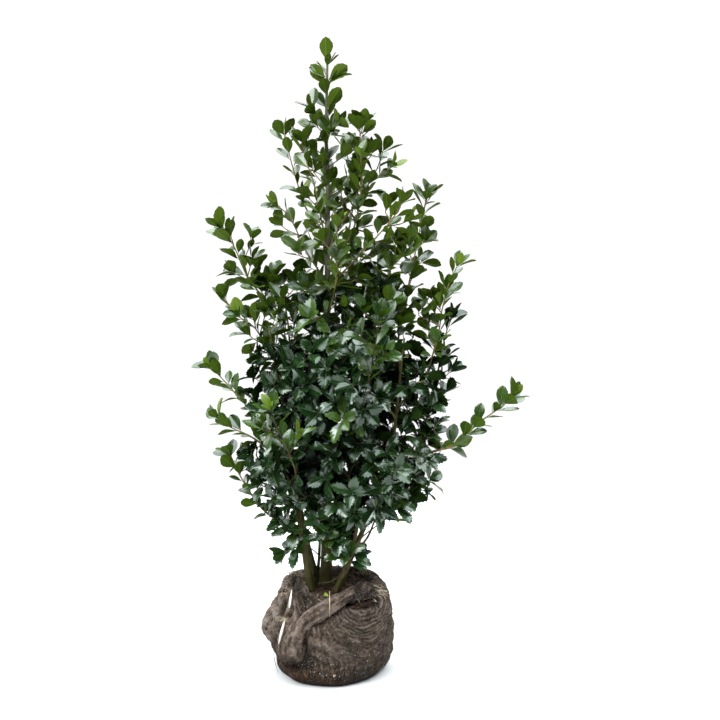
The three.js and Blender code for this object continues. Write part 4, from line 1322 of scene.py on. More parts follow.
# ridges and folds: bearing and height along each, width, height (mm)
folds = [
    ([(-134, 66), (-127, 100), (-117, 136), (-108, 163), (-99, 184), (-86, 198)], 17, 8),      # under the front roll
    ([(-172, 134), (-166, 118), (-160, 100), (-153, 84)], 12, 9),                              # the ear on the left
    ([(-178, 110), (-170, 92), (-161, 66)], 9, 7),
    ([(-170, 160), (-160, 164), (-152, 156)], 9, 7),
    ([(-160, 206), (-152, 186), (-150, 166)], 8, 6),
    ([(-126, 196), (-121, 180), (-119, 160), (-124, 140)], 8, 7),
    ([(-116, 202), (-110, 190), (-104, 184)], 8, 5),
    ([(-24, 196), (-18, 176), (-12, 146), (-8, 110)], 13, 5),
    ([(-96, 112), (-84, 84), (-78, 52)], 16, 4),
    ([(-76, 196), (-66, 186), (-52, 180), (-36, 184), (-26, 194)], 6, 5),                      # the lip under the hollow
    ([(20, 200), (40, 206), (70, 204), (100, 202)], 10, 6),
    ([(100, 180), (112, 150), (118, 110), (128, 70)], 14, 7),
    ([(150, 200), (146, 170), (138, 140), (142, 100)], 12, 7),
    ([(40, 170), (52, 140), (56, 100), (48, 60)], 13, 6),
    ([(70, 190), (80, 150), (92, 110), (90, 60)], 10, 5),
    ([(170, 120), (160, 90), (165, 50), (170, 20)], 12, 5),
]
for marks, w, h in folds:
    d, al = seg_dist(P, line_on_ball(marks))
    D += h * MM * np.exp(-(d / (w * MM)) ** 2) * (0.55 + 0.45 * np.sin(np.pi * np.clip(al, 0.02, 0.98)))
creases = [
    ([(-110, 132), (-111, 112), (-110, 92), (-113, 74), (-122, 52), (-134, 40)], 6, 9),        # round the fat lobe
    ([(-128, 172), (-136, 152), (-141, 122), (-147, 98), (-152, 80)], 6, 9),                   # left of the roll
    ([(-145, 188), (-142, 180), (-143, 168)], 10, 24),                                          # the dark hole
    ([(-156, 146), (-158, 128), (-164, 112)], 5, 7),
    ([(-170, 104), (-160, 90), (-150, 86)], 5, 6),
    ([(-176, 150), (-164, 148)], 5, 5),
    ([(-102, 160), (-92, 176), (-80, 188), (-68, 196)], 5, 5),
    ([(-66, 202), (-50, 198), (-34, 196)], 12, 21),                                            # the hollow under the knot
    ([(-133, 204), (-127, 188), (-126, 172)], 4, 6),
    ([(-121, 206), (-114, 196), (-110, 190)], 4, 6),
    ([(-20, 205), (-10, 180), (-4, 150)], 5, 3),
    ([(60, 180), (66, 140), (62, 90)], 6, 4),
    ([(126, 190), (130, 150), (124, 90)], 7, 5),
    ([(160, 190), (166, 150), (158, 90)], 6, 5),
    ([(20, 180), (28, 130), (24, 80)], 6, 3),
]
for marks, w, h in creases:
    d, al = seg_dist(P, line_on_ball(marks))
    D -= h * MM * np.exp(-(d / (w * MM)) ** 2)
# drapes hang in rings from the hollow on the right, and run soft elsewhere
hole = ball_point(-50, 204)
dh = np.linalg.norm(P - hole, axis=1)
right_face = np.clip((-P[:, 1]) / 0.05, 0, 1) * np.clip((P[:, 0] + 0.025) / 0.05, 0, 1)
warp = fbm(P, 11, 4, 71) * 0.020 + fbm(P, 45, 2, 70) * 0.004
ring_d = np.sqrt(((P - hole) ** 2 @ np.array([0.72, 0.72, 1.35])))
ring = np.sin((ring_d + warp) * 2 * np.pi / 0.0092)
ring_gain = 0.95 * np.exp(-((dh - 0.056) / 0.044) ** 2) * right_face * (0.5 + 0.8 * (0.5 + 0.5 * fbm(P, 24, 2, 79)))
D += 0.0019 * ring * ring_gain
D += 0.0020 * np.sin((P[:, 2] + 0.35 * P[:, 0] + fbm(P, 10, 3, 72) * 0.02) * 2 * np.pi / 0.034) * np.clip(P[:, 2] / 0.05, 0, 1) * (0.35 + 0.65 * (1 - right_face))
# rucks and strands of the felt; they run round the hollow on the right and down the ball elsewhere
strand_q = np.stack([(dh + warp) * 330, BEAR * 0.09, P[:, 2] * 22], 1)
strand_o = np.stack([BEAR * 0.95 + P[:, 2] * 60, P[:, 2] * 34, BEAR * 0 + 3.0], 1)
rucks_r, rucks_o = fbm(strand_q, 1.0, 3, 83), fbm(strand_o, 1.0, 3, 84)
blend = np.clip(right_face * 1.3, 0, 1) * np.clip((0.17 - dh) / 0.05, 0, 1)
rucks = rucks_r * blend + rucks_o * (1 - blend)
left_face = np.clip((-P[:, 0] - 0.03) / 0.05, 0, 1)
coarse = fbm(P, 22, 3, 73)
lumpy = fbm(P, 70, 4, 74)
fine = fbm(P, 240, 2, 75)
D += coarse * 0.0045 + lumpy * (0.0021 + 0.0022 * left_face) + fine * 0.0011 + rucks * 0.0017
# keep the underside flat, and the rim inside its height
hgt = P[:, 2]
fade = np.clip((hgt - 0.004) / 0.03, 0, 1)
P2 = P + NRM * (D * fade)[:, None]
rim = np.clip((hgt - 0.19) / 0.03, 0, 1) * np.exp(-((np.hypot(P[:, 0], P[:, 1]) - 0.112) / 0.02) ** 2)
back_rim = np.exp(-(((BEAR - 58 + 180) % 360 - 180) / 40.0) ** 2)
front_rim = np.exp(-(((BEAR + 95 + 180) % 360 - 180) / 40.0) ** 2) * np.clip((hgt - 0.196) / 0.02, 0, 1)
P2[:, 2] -= front_rim * 0.009
P2[:, :2] *= (1 + 0.07 * front_rim * np.clip((0.125 - np.hypot(P[:, 0], P[:, 1])) / 0.03, 0, 1))[:, None]
P2[:, 2] += rim * (0.003 + 0.007 * back_rim + fbm(P, 40, 3, 76) * 0.006)
P2[:, 2] = np.clip(P2[:, 2], 0, 0.236)
P2[hgt < 0.0005, 2] = 0.0
# how light the felt lies at each point: painted shade and light, lighter on the crests and darker in the folds as the
# displacement D goes; the rucks, lumps and rings add the felt's own streaky texture as well as painted light on their
# crests
tone = 0.525 + np.clip(D * 1000 - coarse * 2, -12, 8) * 0.022 + rucks * 0.26 + lumpy * 0.12 + fine * 0.12 + ring * ring_gain * 0.13
# painted light and shade: the upper left face is lighter as if lit from the left, a patch on the front a little left at
# mid height is lighter, and the felt darkens towards the bottom as painted shade where the ball curves under
tone += 0.21 * left_face * np.clip((hgt - 0.07) / 0.06, 0, 1) + 0.10 * np.exp(-((BEAR - 252) / 22.0) ** 2) * np.exp(-((hgt - 0.105) / 0.045) ** 2) - 0.34 * np.exp(-hgt / 0.035)
# painted shade: the felt is darkened round the hole on the left
tone -= 0.60 * np.exp(-((P - ball_point(-143, 180, -6)) ** 2).sum(1) / 0.012 ** 2)
rust = np.exp(-(((BEAR + 128 + 180) % 360 - 180) / 38.0) ** 2) * np.exp(-((hgt - 0.022) / 0.026) ** 2)
rust = np.clip(rust + 0.9 * np.exp(-((P - ball_point(-48, 204, -6)) ** 2).sum(1) / 0.017 ** 2) + 0.25 * fbm(P, 30, 2, 77), 0, 1)
grid = np.arange(NA * NH).reshape(NH, NA)
i0, i1 = grid[:-1], grid[1:]
quads = np.stack([i0, np.roll(i0, -1, 1), np.roll(i1, -1, 1), i1], -1).reshape(-1, 4)
ball_soup = Soup()
ball_soup.add(P2, quads, 0)
# flat underside
und = [[int(grid[0][(j + 1) % NA]), int(grid[0][j]), len(P2)] for j in range(NA)]
ball_soup.v[-1] = np.vstack([ball_soup.v[-1], [[0, 0, 0]]])
ball_soup.n += 1
ball_soup.add_faces_only(np.array(und), 0)


def give_points(obj, **values):
    """Numbers carried by the mesh's own points, for the felt's shader."""
    for name, val in values.items():
        full = np.full(len(obj.data.vertices), 0.4, np.float32)
        full[:len(val)] = val
        obj.data.attributes.new(name, 'FLOAT', 'POINT').data.foreach_set("value", full)


def burlap_material(name, tint=1.0, roughness=0.95):
    m, nt, b = new_material(name)
    tc = nt.nodes.new("ShaderNodeTexCoord").outputs["Object"]
    at = nt.nodes.new("ShaderNodeAttribute")
    at.attribute_name = "tone"
    ru = nt.nodes.new("ShaderNodeAttribute")
    ru.attribute_name = "rust"
    big = noise(nt, tc, 16, 4, 0.6, 0.3)
    mid = noise(nt, tc, 125, 6, 0.78, 0.5)
    hair1 = noise(nt, tc, 240, 5, 0.75, 1.8, (1.0, 1.0, 0.22, 0.5, 0.3, 0.2))
    hair2 = noise(nt, tc, 260, 5, 0.75, 1.6, (0.26, 0.5, 1.0, 0.2, 0.6, 0.9))
    hair3 = noise(nt, tc, 330, 4, 0.7, 2.4, (0.4, 1.0, 0.4, 0.9, 0.2, 0.4))
    # the tone attribute brings the mesh's painted light and shade, and its felt texture, into the colour
    k = math_node(nt, 'MULTIPLY', at.outputs["Fac"], 0.95)
    k = math_node(nt, 'ADD', k, math_node(nt, 'MULTIPLY', mid.outputs["Fac"], 0.95))
    k = math_node(nt, 'ADD', k, math_node(nt, 'MULTIPLY', big.outputs["Fac"], 0.25))
    k = math_node(nt, 'SUBTRACT', k, 0.575)
    T = lambda r_, g_, b_: (r_ * tint, g_ * tint, b_ * tint)
    base = ramp(nt, [(0.20, T(0.012, 0.0082, 0.0056)), (0.40, T(0.042, 0.0300, 0.0210)), (0.53, T(0.100, 0.0745, 0.0545)), (0.67, T(0.205, 0.162, 0.127)), (0.85, T(0.38, 0.320, 0.265))], k)
    c = base.outputs[0]
    h1 = ramp(nt, [(0.50, (0, 0, 0)), (0.62, (1, 1, 1))], hair1.outputs["Fac"])
    h2 = ramp(nt, [(0.52, (0, 0, 0)), (0.64, (1, 1, 1))], hair2.outputs["Fac"])
    h3 = ramp(nt, [(0.54, (0, 0, 0)), (0.64, (1, 1, 1))], hair3.outputs["Fac"])
    c = mix_color(nt, math_node(nt, 'MULTIPLY', h1.outputs[0], 0.36), c, T(0.29, 0.235, 0.182))
    c = mix_color(nt, math_node(nt, 'MULTIPLY', h2.outputs[0], 0.34), c, T(0.020, 0.0145, 0.0105))
    c = mix_color(nt, math_node(nt, 'MULTIPLY', h3.outputs[0], 0.34), c, T(0.34, 0.30, 0.25))
    rusty = mix_color(nt, 1.0, c, (1.25, 0.80, 0.50), 'MULTIPLY')
    c = mix_color(nt, ru.outputs["Fac"], c, rusty)
    c = mix_color(nt, 1.0, c, (0.650, 0.622, 0.625), 'MULTIPLY')
    nt.links.new(c, b.inputs["Base Color"])
    b.inputs["Roughness"].default_value = roughness
    b.inputs["Specular IOR Level"].default_value = 0.15
    hh = math_node(nt, 'ADD', math_node(nt, 'MULTIPLY', h1.outputs[0], 0.5), math_node(nt, 'MULTIPLY', h3.outputs[0], 0.5))
    hh = math_node(nt, 'ADD', hh, math_node(nt, 'MULTIPLY', mid.outputs["Fac"], 1.4))
    bump(nt, b, hh, 0.9, 0.0024)
    return m


burlap = burlap_material("burlap")
burlap_dark = burlap_material("burlap_fold", 1.0)


def soil_material():
    m, nt, b = new_material("soil")
    tc = nt.nodes.new("ShaderNodeTexCoord").outputs["Object"]
    n1 = noise(nt, tc, 90, 6, 0.7, 0.5)
    n2 = noise(nt, tc, 400, 4, 0.7)
    col = ramp(nt, [(0.3, (0.010, 0.0062, 0.0042)), (0.5, (0.040, 0.023, 0.0145)), (0.68, (0.088, 0.049, 0.031)), (0.82, (0.125, 0.076, 0.050))], n1.outputs["Fac"])
    nt.links.new(col.outputs[0], b.inputs["Base Color"])
    b.inputs["Roughness"].default_value = 0.95
    b.inputs["Specular IOR Level"].default_value = 0.2
    bump(nt, b, math_node(nt, 'ADD', n1.outputs["Fac"], n2.outputs["Fac"]), 0.9, 0.003)
    return m


soil_mat = soil_material()
ball_obj = ball_soup.build("root_ball_burlap", [burlap])
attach(ball_obj, "root")
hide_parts("root_ball")


# ---- the rolled folds ----------------------------------------------------------------
def roll(path, radii, seed, turns=3.0, strands=3, sides=48, step=1.6, end0=14, end1=14, deep=0.13):
    """A twisted roll of felt along a path, rounded off over end0 and end1 mm; with its tone, painted darker in the
    twist grooves and lighter on the crests.
    """
    p = path
    L = arclen(p)[-1]
    n = max(24, int(L / (step * MM)))
    p = resample(p, n)
    s = np.linspace(0, L, n)
    r = np.interp(np.linspace(0, 1, n), np.linspace(0, 1, len(radii)), radii) * MM
    r = np.convolve(np.pad(r, 4, mode="edge"), np.ones(9) / 9, "valid")
    r = r * np.sqrt(np.clip(1 - np.clip(1 - s / (end0 * MM), 0, 0.995) ** 2, 0, 1)) * np.sqrt(np.clip(1 - np.clip(1 - (L - s) / (end1 * MM), 0, 0.995) ** 2, 0, 1))
    p = p + np.stack([fbm(p, 25, 2, seed), fbm(p + 3, 25, 2, seed), fbm(p + 6, 25, 2, seed)], 1) * 0.003
    shade = {}

    def relief(theta, sl, pos):
        w = np.interp(sl[:, 0], arclen(p), r)[:, None]
        k_ = np.clip(w / 0.008, 0, 1)
        twist = strands * theta + turns * 2 * np.pi * sl / L
        q = pos.reshape(-1, 3)
        fold = (np.abs(np.sin(twist / 2)) ** 0.6 - 0.6)
        lines = fbm(np.stack([np.cos(theta + 2.2 * sl / L) * 3.2, np.sin(theta + 2.2 * sl / L) * 3.2, sl * 26], -1).reshape(-1, 3), 1.6, 3, seed + 3).reshape(theta.shape)
        rough = fbm(q, 60, 3, seed + 1).reshape(theta.shape)
        fine_ = fbm(q, 260, 2, seed + 2).reshape(theta.shape)
        # painted shade: the tone is darker in the twist grooves and lighter on the crests; the lines and noise add the
        # felt's own strands
        shade["t"] = 0.48 + 0.20 * fold + 0.42 * lines + 0.16 * rough + 0.14 * fine_
        return k_ * (deep * w * fold + 0.0030 * lines + rough * 0.0022 + fine_ * 0.0010)
    v, q4, t3 = tube_mesh(p, r, sides, cap0=True, cap1=True, relief=relief)
    tn = shade["t"].reshape(-1)
    return v, q4, t3, np.concatenate([tn, np.full(len(v) - len(tn), 0.4)]), p, r


def make_rolls(name, rolls, node):
    soup, tones, paths = Soup(), [], []
    for path, radii, seed, turns, strands, e0, e1, dark in rolls:
        v, q4, t3, tn, p, r = roll(path, radii, seed, turns, strands, end0=e0, end1=e1)
        soup.add(v, q4, 0)
        soup.add_faces_only(t3, 0)
        # painted shade and light: each roll is darker low down, where it curves under, and lighter on its upper left,
        # as if lit from there
        tones.append(tn - dark - 0.30 * np.clip((0.088 - v[:, 2]) / 0.03, 0, 1) + 0.10 * np.clip((v[:, 2] - 0.13) / 0.03, 0, 1) * np.clip((-v[:, 0] + 0.05) / 0.05, 0, 1))
        paths.append((p, r))
    o = soup.build(name, [burlap_dark])
    give_points(o, tone=np.concatenate(tones), rust=np.full(len(o.data.vertices), 0.05))
    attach(o, "root")
    if node:
        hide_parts(node)
    print("scene:", name, soup.tris())
    return paths


front_paths = make_rolls("burlap_roll_front", [
    (line_on_ball([(-34, 214, 1), (-50, 218, 3), (-64, 216, 4), (-75, 209, 3), (-84, 200, 2), (-92, 192, 1), (-100, 183, 0), (-106, 172, -1), (-111, 157, -2), (-114, 140, -5), (-119, 118, -9), (-122, 95, -13), (-124, 74, -15), (-125, 57, -18)]),
     [14, 17, 16, 15, 16, 18, 19, 19, 18, 20, 26, 32, 35, 34], 301, 1.6, 2, 16, 28, -0.07),
    (line_on_ball([(-66, 208, 4), (-54, 216, 7), (-42, 217, 8), (-32, 211, 4)]), [11, 18, 20, 13], 302, 0.6, 3, 14, 14, 0.16),
], "sack_roll_front")
rim_paths = make_rolls("burlap_roll_rim", [
    (catmull(np.array([(-97, -50, 207), (-95, -24, 219), (-88, 4, 226), (-79, 0, 228), (-76, -34, 226), (-73, -72, 221), (-68, -104, 211), (-62, -128, 194), (-58, -140, 176)]) * MM, 6), [4, 5.5, 6, 6.5, 8, 9, 9, 8, 5], 311, 0.8, 2, 8, 12, 0.16),
    (catmull(np.array([(-67, 24, 213), (-65, -10, 218), (-60, -50, 218), (-54, -84, 214), (-45, -108, 206), (-36, -126, 194)]) * MM, 6), [5, 7.5, 8, 8, 7.5, 5], 312, 0.7, 2, 10, 10, -0.16),
    (line_on_ball([(168, 214), (140, 218), (112, 220), (84, 219)]), [6, 9, 8, 7], 313, 2.2, 2, 12, 12, 0.0),
    (line_on_ball([(92, 216, 2), (72, 220, 2), (52, 222, 3), (30, 218, 2), (14, 210)]), [6, 8, 10, 9, 5], 314, 1.6, 2, 12, 12, 0.02),
    (line_on_ball([(-176, 196), (-166, 206), (-156, 212), (-148, 216)]), [5, 7, 7, 5], 315, 1.0, 2, 9, 9, 0.0),
], "sack_roll_left")
for path, rad_ in front_paths + rim_paths[:2]:      # painted shade: the felt is darkened beside the rolls, where they shade it
    d, al = seg_dist(P2, path)
    gap = d - np.interp(al, np.linspace(0, 1, len(rad_)), rad_)
    tone -= 0.34 * np.exp(-(np.maximum(gap, 0) / 0.0065) ** 2)
# painted shadow: the felt is darkened along a line under the fat lobe
d, al = seg_dist(P2, line_on_ball([(-133, 46), (-124, 46), (-114, 52), (-107, 62), (-106, 78)]))
tone -= 0.50 * np.exp(-(d / 0.0125) ** 2)
give_points(ball_obj, tone=tone, rust=rust)

# ---- the soil in the opening ----------------------------------------------------------
soil_soup = Soup()
NR, NS = 36, 130
rr_ = np.linspace(0, 0.103, NR)
aa_ = np.linspace(0, 2 * np.pi, NS, endpoint=False)
RR, TH = np.meshgrid(rr_, aa_, indexing="ij")
front_w = np.exp(-(((np.degrees(TH) + 95 + 180) % 360 - 180) / 42.0) ** 2)
k_ = 1 - 0.10 * (1 - front_w)
sx, sy = RR * k_ * np.cos(TH), RR * k_ * np.sin(TH)
base_z = 0.2135 + 0.002 * np.cos(np.clip(RR / 0.09, 0, 1) * np.pi) - 0.006 * np.clip((RR - 0.080) / 0.02, 0, 1) - 0.008 * front_w * (RR / 0.1) ** 2
Q = np.stack([sx, sy, base_z], -1).reshape(-1, 3)
Q[:, 2] += fbm(Q, 55, 4, 81) * 0.0042 + fbm(Q, 220, 2, 82) * 0.0016
Q[:, 2] = np.minimum(Q[:, 2], 0.219)
g = np.arange(NR * NS).reshape(NR, NS)
quads = np.stack([g[:-1], g[1:], np.roll(g[1:], -1, 1), np.roll(g[:-1], -1, 1)], -1).reshape(-1, 4)
soil_soup.add(Q, quads, 0)
crng = np.random.default_rng(515)
ico_v = norm(np.array([(x, y, z) for x in (-1, 0, 1) for y in (-1, 0, 1) for z in (-1, 0, 1) if abs(x) + abs(y) + abs(z) == 1], float))
oct_f = []
for sxn in (1, -1):
    for syn in (1, -1):
        for szn in (1, -1):
            a_ = int(np.argmin(np.linalg.norm(ico_v - [sxn, 0, 0], axis=1)))
            b_ = int(np.argmin(np.linalg.norm(ico_v - [0, syn, 0], axis=1)))
            c_ = int(np.argmin(np.linalg.norm(ico_v - [0, 0, szn], axis=1)))
            f_ = [a_, b_, c_]
            nn = np.cross(ico_v[b_] - ico_v[a_], ico_v[c_] - ico_v[a_])
            oct_f.append(f_ if nn @ (ico_v[a_] + ico_v[b_] + ico_v[c_]) > 0 else f_[::-1])
# one subdivision makes a clod
mid_cache, vv_, ff_ = {}, [tuple(x) for x in ico_v], []


def midpoint(i, j):
    key = (min(i, j), max(i, j))
    if key not in mid_cache:
        vv_.append(tuple(norm((np.array(vv_[i]) + np.array(vv_[j])) / 2)))
        mid_cache[key] = len(vv_) - 1
    return mid_cache[key]


for a_, b_, c_ in oct_f:
    ab, bc, ca = midpoint(a_, b_), midpoint(b_, c_), midpoint(c_, a_)
    ff_ += [(a_, ab, ca), (ab, b_, bc), (ca, bc, c_), (ab, bc, ca)]
clod_v, clod_f = np.array(vv_), np.array(ff_)


def clod(soup, c, size, m=0, flat=1.0):
    vv1 = clod_v * size * (1 + 0.18 * crng.standard_normal((len(clod_v), 1))) * (0.7 + 0.6 * crng.random(3)) * [1, 1, flat] + c
    soup.add(vv1, clod_f, m)


for _ in range(460):
    rr1, th1 = 0.097 * math.sqrt(crng.random()), crng.random() * 6.283
    size = 0.0012 + 0.0034 * crng.random() ** 2.2
    j = int(np.argmin((Q[:, 0] - rr1 * math.cos(th1)) ** 2 + (Q[:, 1] - rr1 * math.sin(th1)) ** 2))
    clod(soil_soup, Q[j] + [0, 0, 0.3 * size], size)
hole_floor = ball_point(-50, 197, -9)
for _ in range(230):      # the soil that shows in the hollow under the knot
    d = crng.normal(0, 1, 3) * [0.017, 0.007, 0.003]
    clod(soil_soup, hole_floor + [d[0] * 0.8 + d[1] * 0.5, d[1] + d[0] * 0.55, d[2]], 0.0014 + 0.0026 * crng.random() ** 2)
soil_obj = soil_soup.build("soil", [soil_mat])
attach(soil_obj, "root")
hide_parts("soil_top")


# ---- fibres, straw, rootlets and the pale tie ------------------------------------------
def plain_material(name, color, rough=0.8, var=0.35, scale=90):
    m, nt, b = new_material(name)
    tc = nt.nodes.new("ShaderNodeTexCoord").outputs["Object"]
    n1 = noise(nt, tc, scale, 4, 0.65)
    lo_c = tuple(c * (1 - var) for c in color)
    hi_c = tuple(min(1, c * (1 + var)) for c in color)
    col = ramp(nt, [(0.35, lo_c), (0.65, hi_c)], n1.outputs["Fac"])
    nt.links.new(col.outputs[0], b.inputs["Base Color"])
    b.inputs["Roughness"].default_value = rough
    b.inputs["Specular IOR Level"].default_value = 0.25
    return m


def flat_material(name, color, rough=0.85, spec=0.2):
    return leaf_material(name, color, rough, 0.0, 0.3, spec)


fibre_mats = [flat_material("fibre_dark", (0.015, 0.011, 0.009)), flat_material("fibre_brown", (0.080, 0.055, 0.036)), flat_material("fibre_grey", (0.145, 0.124, 0.104)), flat_material("fibre_pale", (0.26, 0.23, 0.195))]
straw_mat = plain_material("straw", (0.40, 0.32, 0.22), 0.7, 0.25)
tie_mat = plain_material("pale_tie", (0.66, 0.62, 0.55), 0.8, 0.10)
root_mat = plain_material("rootlet", (0.085, 0.052, 0.032), 0.8, 0.3)
green_bit = flat_material("young_green_bit", (0.30, 0.38, 0.05), 0.5, 0.4)
speck_mat = flat_material("pale_speck", (0.36, 0.345, 0.32))

frng = np.random.default_rng(929)
fibre_soup = Soup()


def fibre(c, along, nrm, L, curl, lift, width, m, n=4):
    side = np.cross(nrm, along)
    w = np.linspace(0, 1, n)
    ang = curl * w
    q = c + ((along[None] * np.cos(ang)[:, None] + side[None] * np.sin(ang)[:, None]) * (L * (w - 0.5))[:, None]) + nrm[None] * (0.0005 + lift * L * np.sin(w * 2.6))[:, None]
    q[:, 2] = np.maximum(q[:, 2], 0.0008)
    add_tube(fibre_soup, q, width * np.interp(w, [0, 0.3, 0.7, 1], [0.5, 1, 0.9, 0.35]), 3, m=m, cap1=False)


vis = np.where(hgt > 0.006)[0]
true_n = np.zeros_like(P2)
gx = P2.reshape(NH, NA, 3)
ta, tb = np.roll(gx, -1, 1) - np.roll(gx, 1, 1), np.gradient(gx, axis=0)
true_n = norm(np.cross(ta, tb)).reshape(-1, 3)
true_n *= np.sign((true_n * NRM).sum(1, keepdims=True))
for k in range(4600):
    i = int(vis[frng.integers(len(vis))])
    c, nrm = P2[i], true_n[i]
    flow = np.cross(nrm, c - hole) if frng.random() < blend[i] else np.cross(nrm, np.cross(UP, nrm)) + 0.35 * np.cross(UP, nrm)
    flow = norm(flow + 0.1 * frng.standard_normal(3))
    if frng.random() < 0.30:
        flow = norm(np.cross(nrm, frng.standard_normal(3)))
    flow = norm(flow - nrm * (flow @ nrm))
    L = 0.005 + 0.012 * frng.random() ** 1.4
    u_ = frng.random()
    m_ = 0 if u_ < 0.34 else 1 if u_ < 0.60 else 2 if u_ < 0.94 else 3
    lift = 0.015 + 0.16 * frng.random() ** 7
    fibre(c, flow, nrm, L, frng.normal(0, 0.45), lift, 0.00022 + 0.00026 * frng.random() ** 2, m_)
for paths in (front_paths, rim_paths):      # hair on the rolls, along them
    for path, rad_ in paths:
        t_, u_, v_ = frames(path)
        for k in range(int(len(path) * 2.4)):
            j = frng.integers(len(path))
            a_ = frng.random() * 6.283
            nrm = u_[j] * math.cos(a_) + v_[j] * math.sin(a_)
            if nrm @ (path[j] - [0, 0, 0.08]) < 0:
                continue
            flow = norm(t_[j] + 0.45 * np.cross(nrm, t_[j]) * frng.normal(0, 1))
            uu = frng.random()
            fibre(path[j] + nrm * rad_[j] * 1.0, flow, nrm, 0.005 + 0.011 * frng.random(), frng.normal(0, 0.5), 0.015 + 0.14 * frng.random() ** 6, 0.00026 + 0.0003 * frng.random() ** 2,
                  0 if uu < 0.40 else 1 if uu < 0.6 else 2 if uu < 0.9 else 3)
kp, kr = front_paths[1]
for k in range(260):         # the knot is coarse and hairy
    j = frng.integers(len(kp))
    nrm = norm(frng.standard_normal(3))
    if nrm[1] > 0.5:
        continue
    flow = norm(np.cross(nrm, frng.standard_normal(3)))
    fibre(kp[j] + nrm * kr[j] * 1.02, flow, nrm, 0.008 + 0.014 * frng.random(), frng.normal(0, 1.3), 0.05 + 0.3 * frng.random() ** 2, 0.0004 + 0.0004 * frng.random(), 0 if frng.random() < 0.6 else 2)
print("scene: fibres", fibre_soup.tris())
fibres = fibre_soup.build("burlap_fibres", fibre_mats)
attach(fibres, "root")

bits = Soup()


def strand(pts, r0, r1, m, sides=4):
    q = catmull(np.asarray(pts, float), 4)
    add_tube(bits, q, np.linspace(r0, r1, len(q)) * MM, sides, m=m, cap0=True)


def straw_at(c, d, L, width=1.0, m=0):
    q = np.array([c - d * L / 2, c + UP * 0.001 * frng.random(), c + d * L / 2])
    add_tube(bits, resample(q, 5), np.array([0.3, 0.8, 0.9, 0.7, 0.2]) * MM * width, 4, m=m, cap0=True)


for k in range(60):      # straw on the rim, thickest at the back left and by the knot
    deg = -160 + frng.normal(0, 14) if k < 14 else 150 + frng.normal(0, 18) if k < 38 else frng.random() * 360
    c = ball_point(deg, 200 + 19 * frng.random(), 3)
    straw_at(c, norm(np.array([frng.normal(), frng.normal(), 0.35 * frng.normal()])), 0.007 + 0.016 * frng.random(), 0.45 + 0.45 * frng.random())
for k in range(34):      # the cream tuft right of the knot
    c = ball_point(-24 + frng.normal(0, 7), 204 + frng.normal(0, 4.5), 4 + 3 * frng.random())
    straw_at(c, norm(np.array([1.0, -0.5, -0.35]) + 0.35 * frng.standard_normal(3)), 0.008 + 0.010 * frng.random(), 0.5 + 0.5 * frng.random(), 0 if frng.random() < 0.8 else 1)
for z0, dz_ in ((211, 9), (207, 4)):
    q = line_on_ball([(-31, z0 + dz_, 8), (-25, z0 + dz_ - 2, 9), (-17, z0, 6)])
    add_tube(bits, q, np.interp(np.linspace(0, 1, len(q)), [0, 0.5, 1], [0.6, 1.5, 0.5]) * MM, 6, m=0, cap0=True)
star = ball_point(-130, 161, 12)
for k in range(10):
    d = norm(frng.standard_normal(3) * [1, 0.5, 1])
    add_tube(bits, np.array([star - d * 0.002, star + d * 0.008, star + d * 0.015 + UP * 0.001]), np.array([0.7, 0.6, 0.25]) * MM, 3, m=0)
# matted roots and crumbs on the back right of the rim, and a few roots at the back left: each starts in what lies there
tops = [P2[P2[:, 2] > 0.19], Q]
for name in ("burlap_roll_rim", "burlap_roll_front"):
    me = bpy.data.objects[name].data
    c = np.zeros(len(me.vertices) * 3)
    me.vertices.foreach_get("co", c)
    tops.append(c.reshape(-1, 3))
tops = np.vstack(tops)


def top_at(x, y):
    near = (tops[:, 0] - x) ** 2 + (tops[:, 1] - y) ** 2 < 0.0035 ** 2
    return tops[near, 2].max() if near.any() else 0.205


for k in range(470):
    right = k < 390
    th = math.radians(36 + frng.normal(0, 20) if right else 150 + frng.normal(0, 20))
    far = 0.078 + 0.032 * frng.random() if right else 0.094 + 0.014 * frng.random()
    x, y = far * math.cos(th), far * math.sin(th)
    foot = np.array([x, y, top_at(x, y) - 0.0020])
    way = norm(frng.standard_normal(3) * [1, 1, 0])
    L = 0.008 + 0.016 * frng.random()
    top = 0.005 + (0.011 if right else 0.006) * frng.random() ** 1.3
    pts = np.array([foot, foot + way * L * 0.35 + UP * top, foot + way * L * 0.8 + UP * top * (0.6 + 0.5 * frng.random()), foot + way * L * 1.15 + UP * top * (0.3 + 0.6 * frng.random())])
    pick = frng.random()
    strand(pts, (0.85 if right else 0.5) * (0.5 + frng.random()), 0.3, (5 if pick < 0.50 else 2 if pick < 0.74 else 6) if right else (0 if pick < 0.5 else 2), 3)
for k in range(230):
    th, far = math.radians(36 + frng.normal(0, 20)), 0.076 + 0.033 * frng.random()
    x, y = far * math.cos(th), far * math.sin(th)
    clod(bits, np.array([x, y, top_at(x, y)]), 0.0012 + 0.0026 * frng.random() ** 1.5, 5 if frng.random() < 0.7 else 2)
# rootlets that stray off the rim, and the strand that hangs at the lower left
strand([(-0.094, 0.060, 0.224), (-0.108, 0.056, 0.232), (-0.128, 0.050, 0.243)], 0.9, 0.4, 2)
strand([(-0.070, 0.09, 0.224), (-0.078, 0.086, 0.238), (-0.086, 0.080, 0.252)], 0.8, 0.4, 2)
strand([ball_point(-152, 62, 8), ball_point(-152, 40, 14), ball_point(-152, 18, 18)], 0.8, 0.4, 2)
strand([(-0.040, 0.02, 0.216), (-0.038, -0.02, 0.246), (-0.030, -0.02, 0.285)], 0.7, 0.4, 2)
# a thin stick pushed in at the front
add_tube(bits, np.array([ball_point(-88, 214, 25), ball_point(-88, 196, 26), ball_point(-88, 176, 15)]), np.array([1.1, 1.1, 0.9]) * MM, 5, m=0, cap0=True)
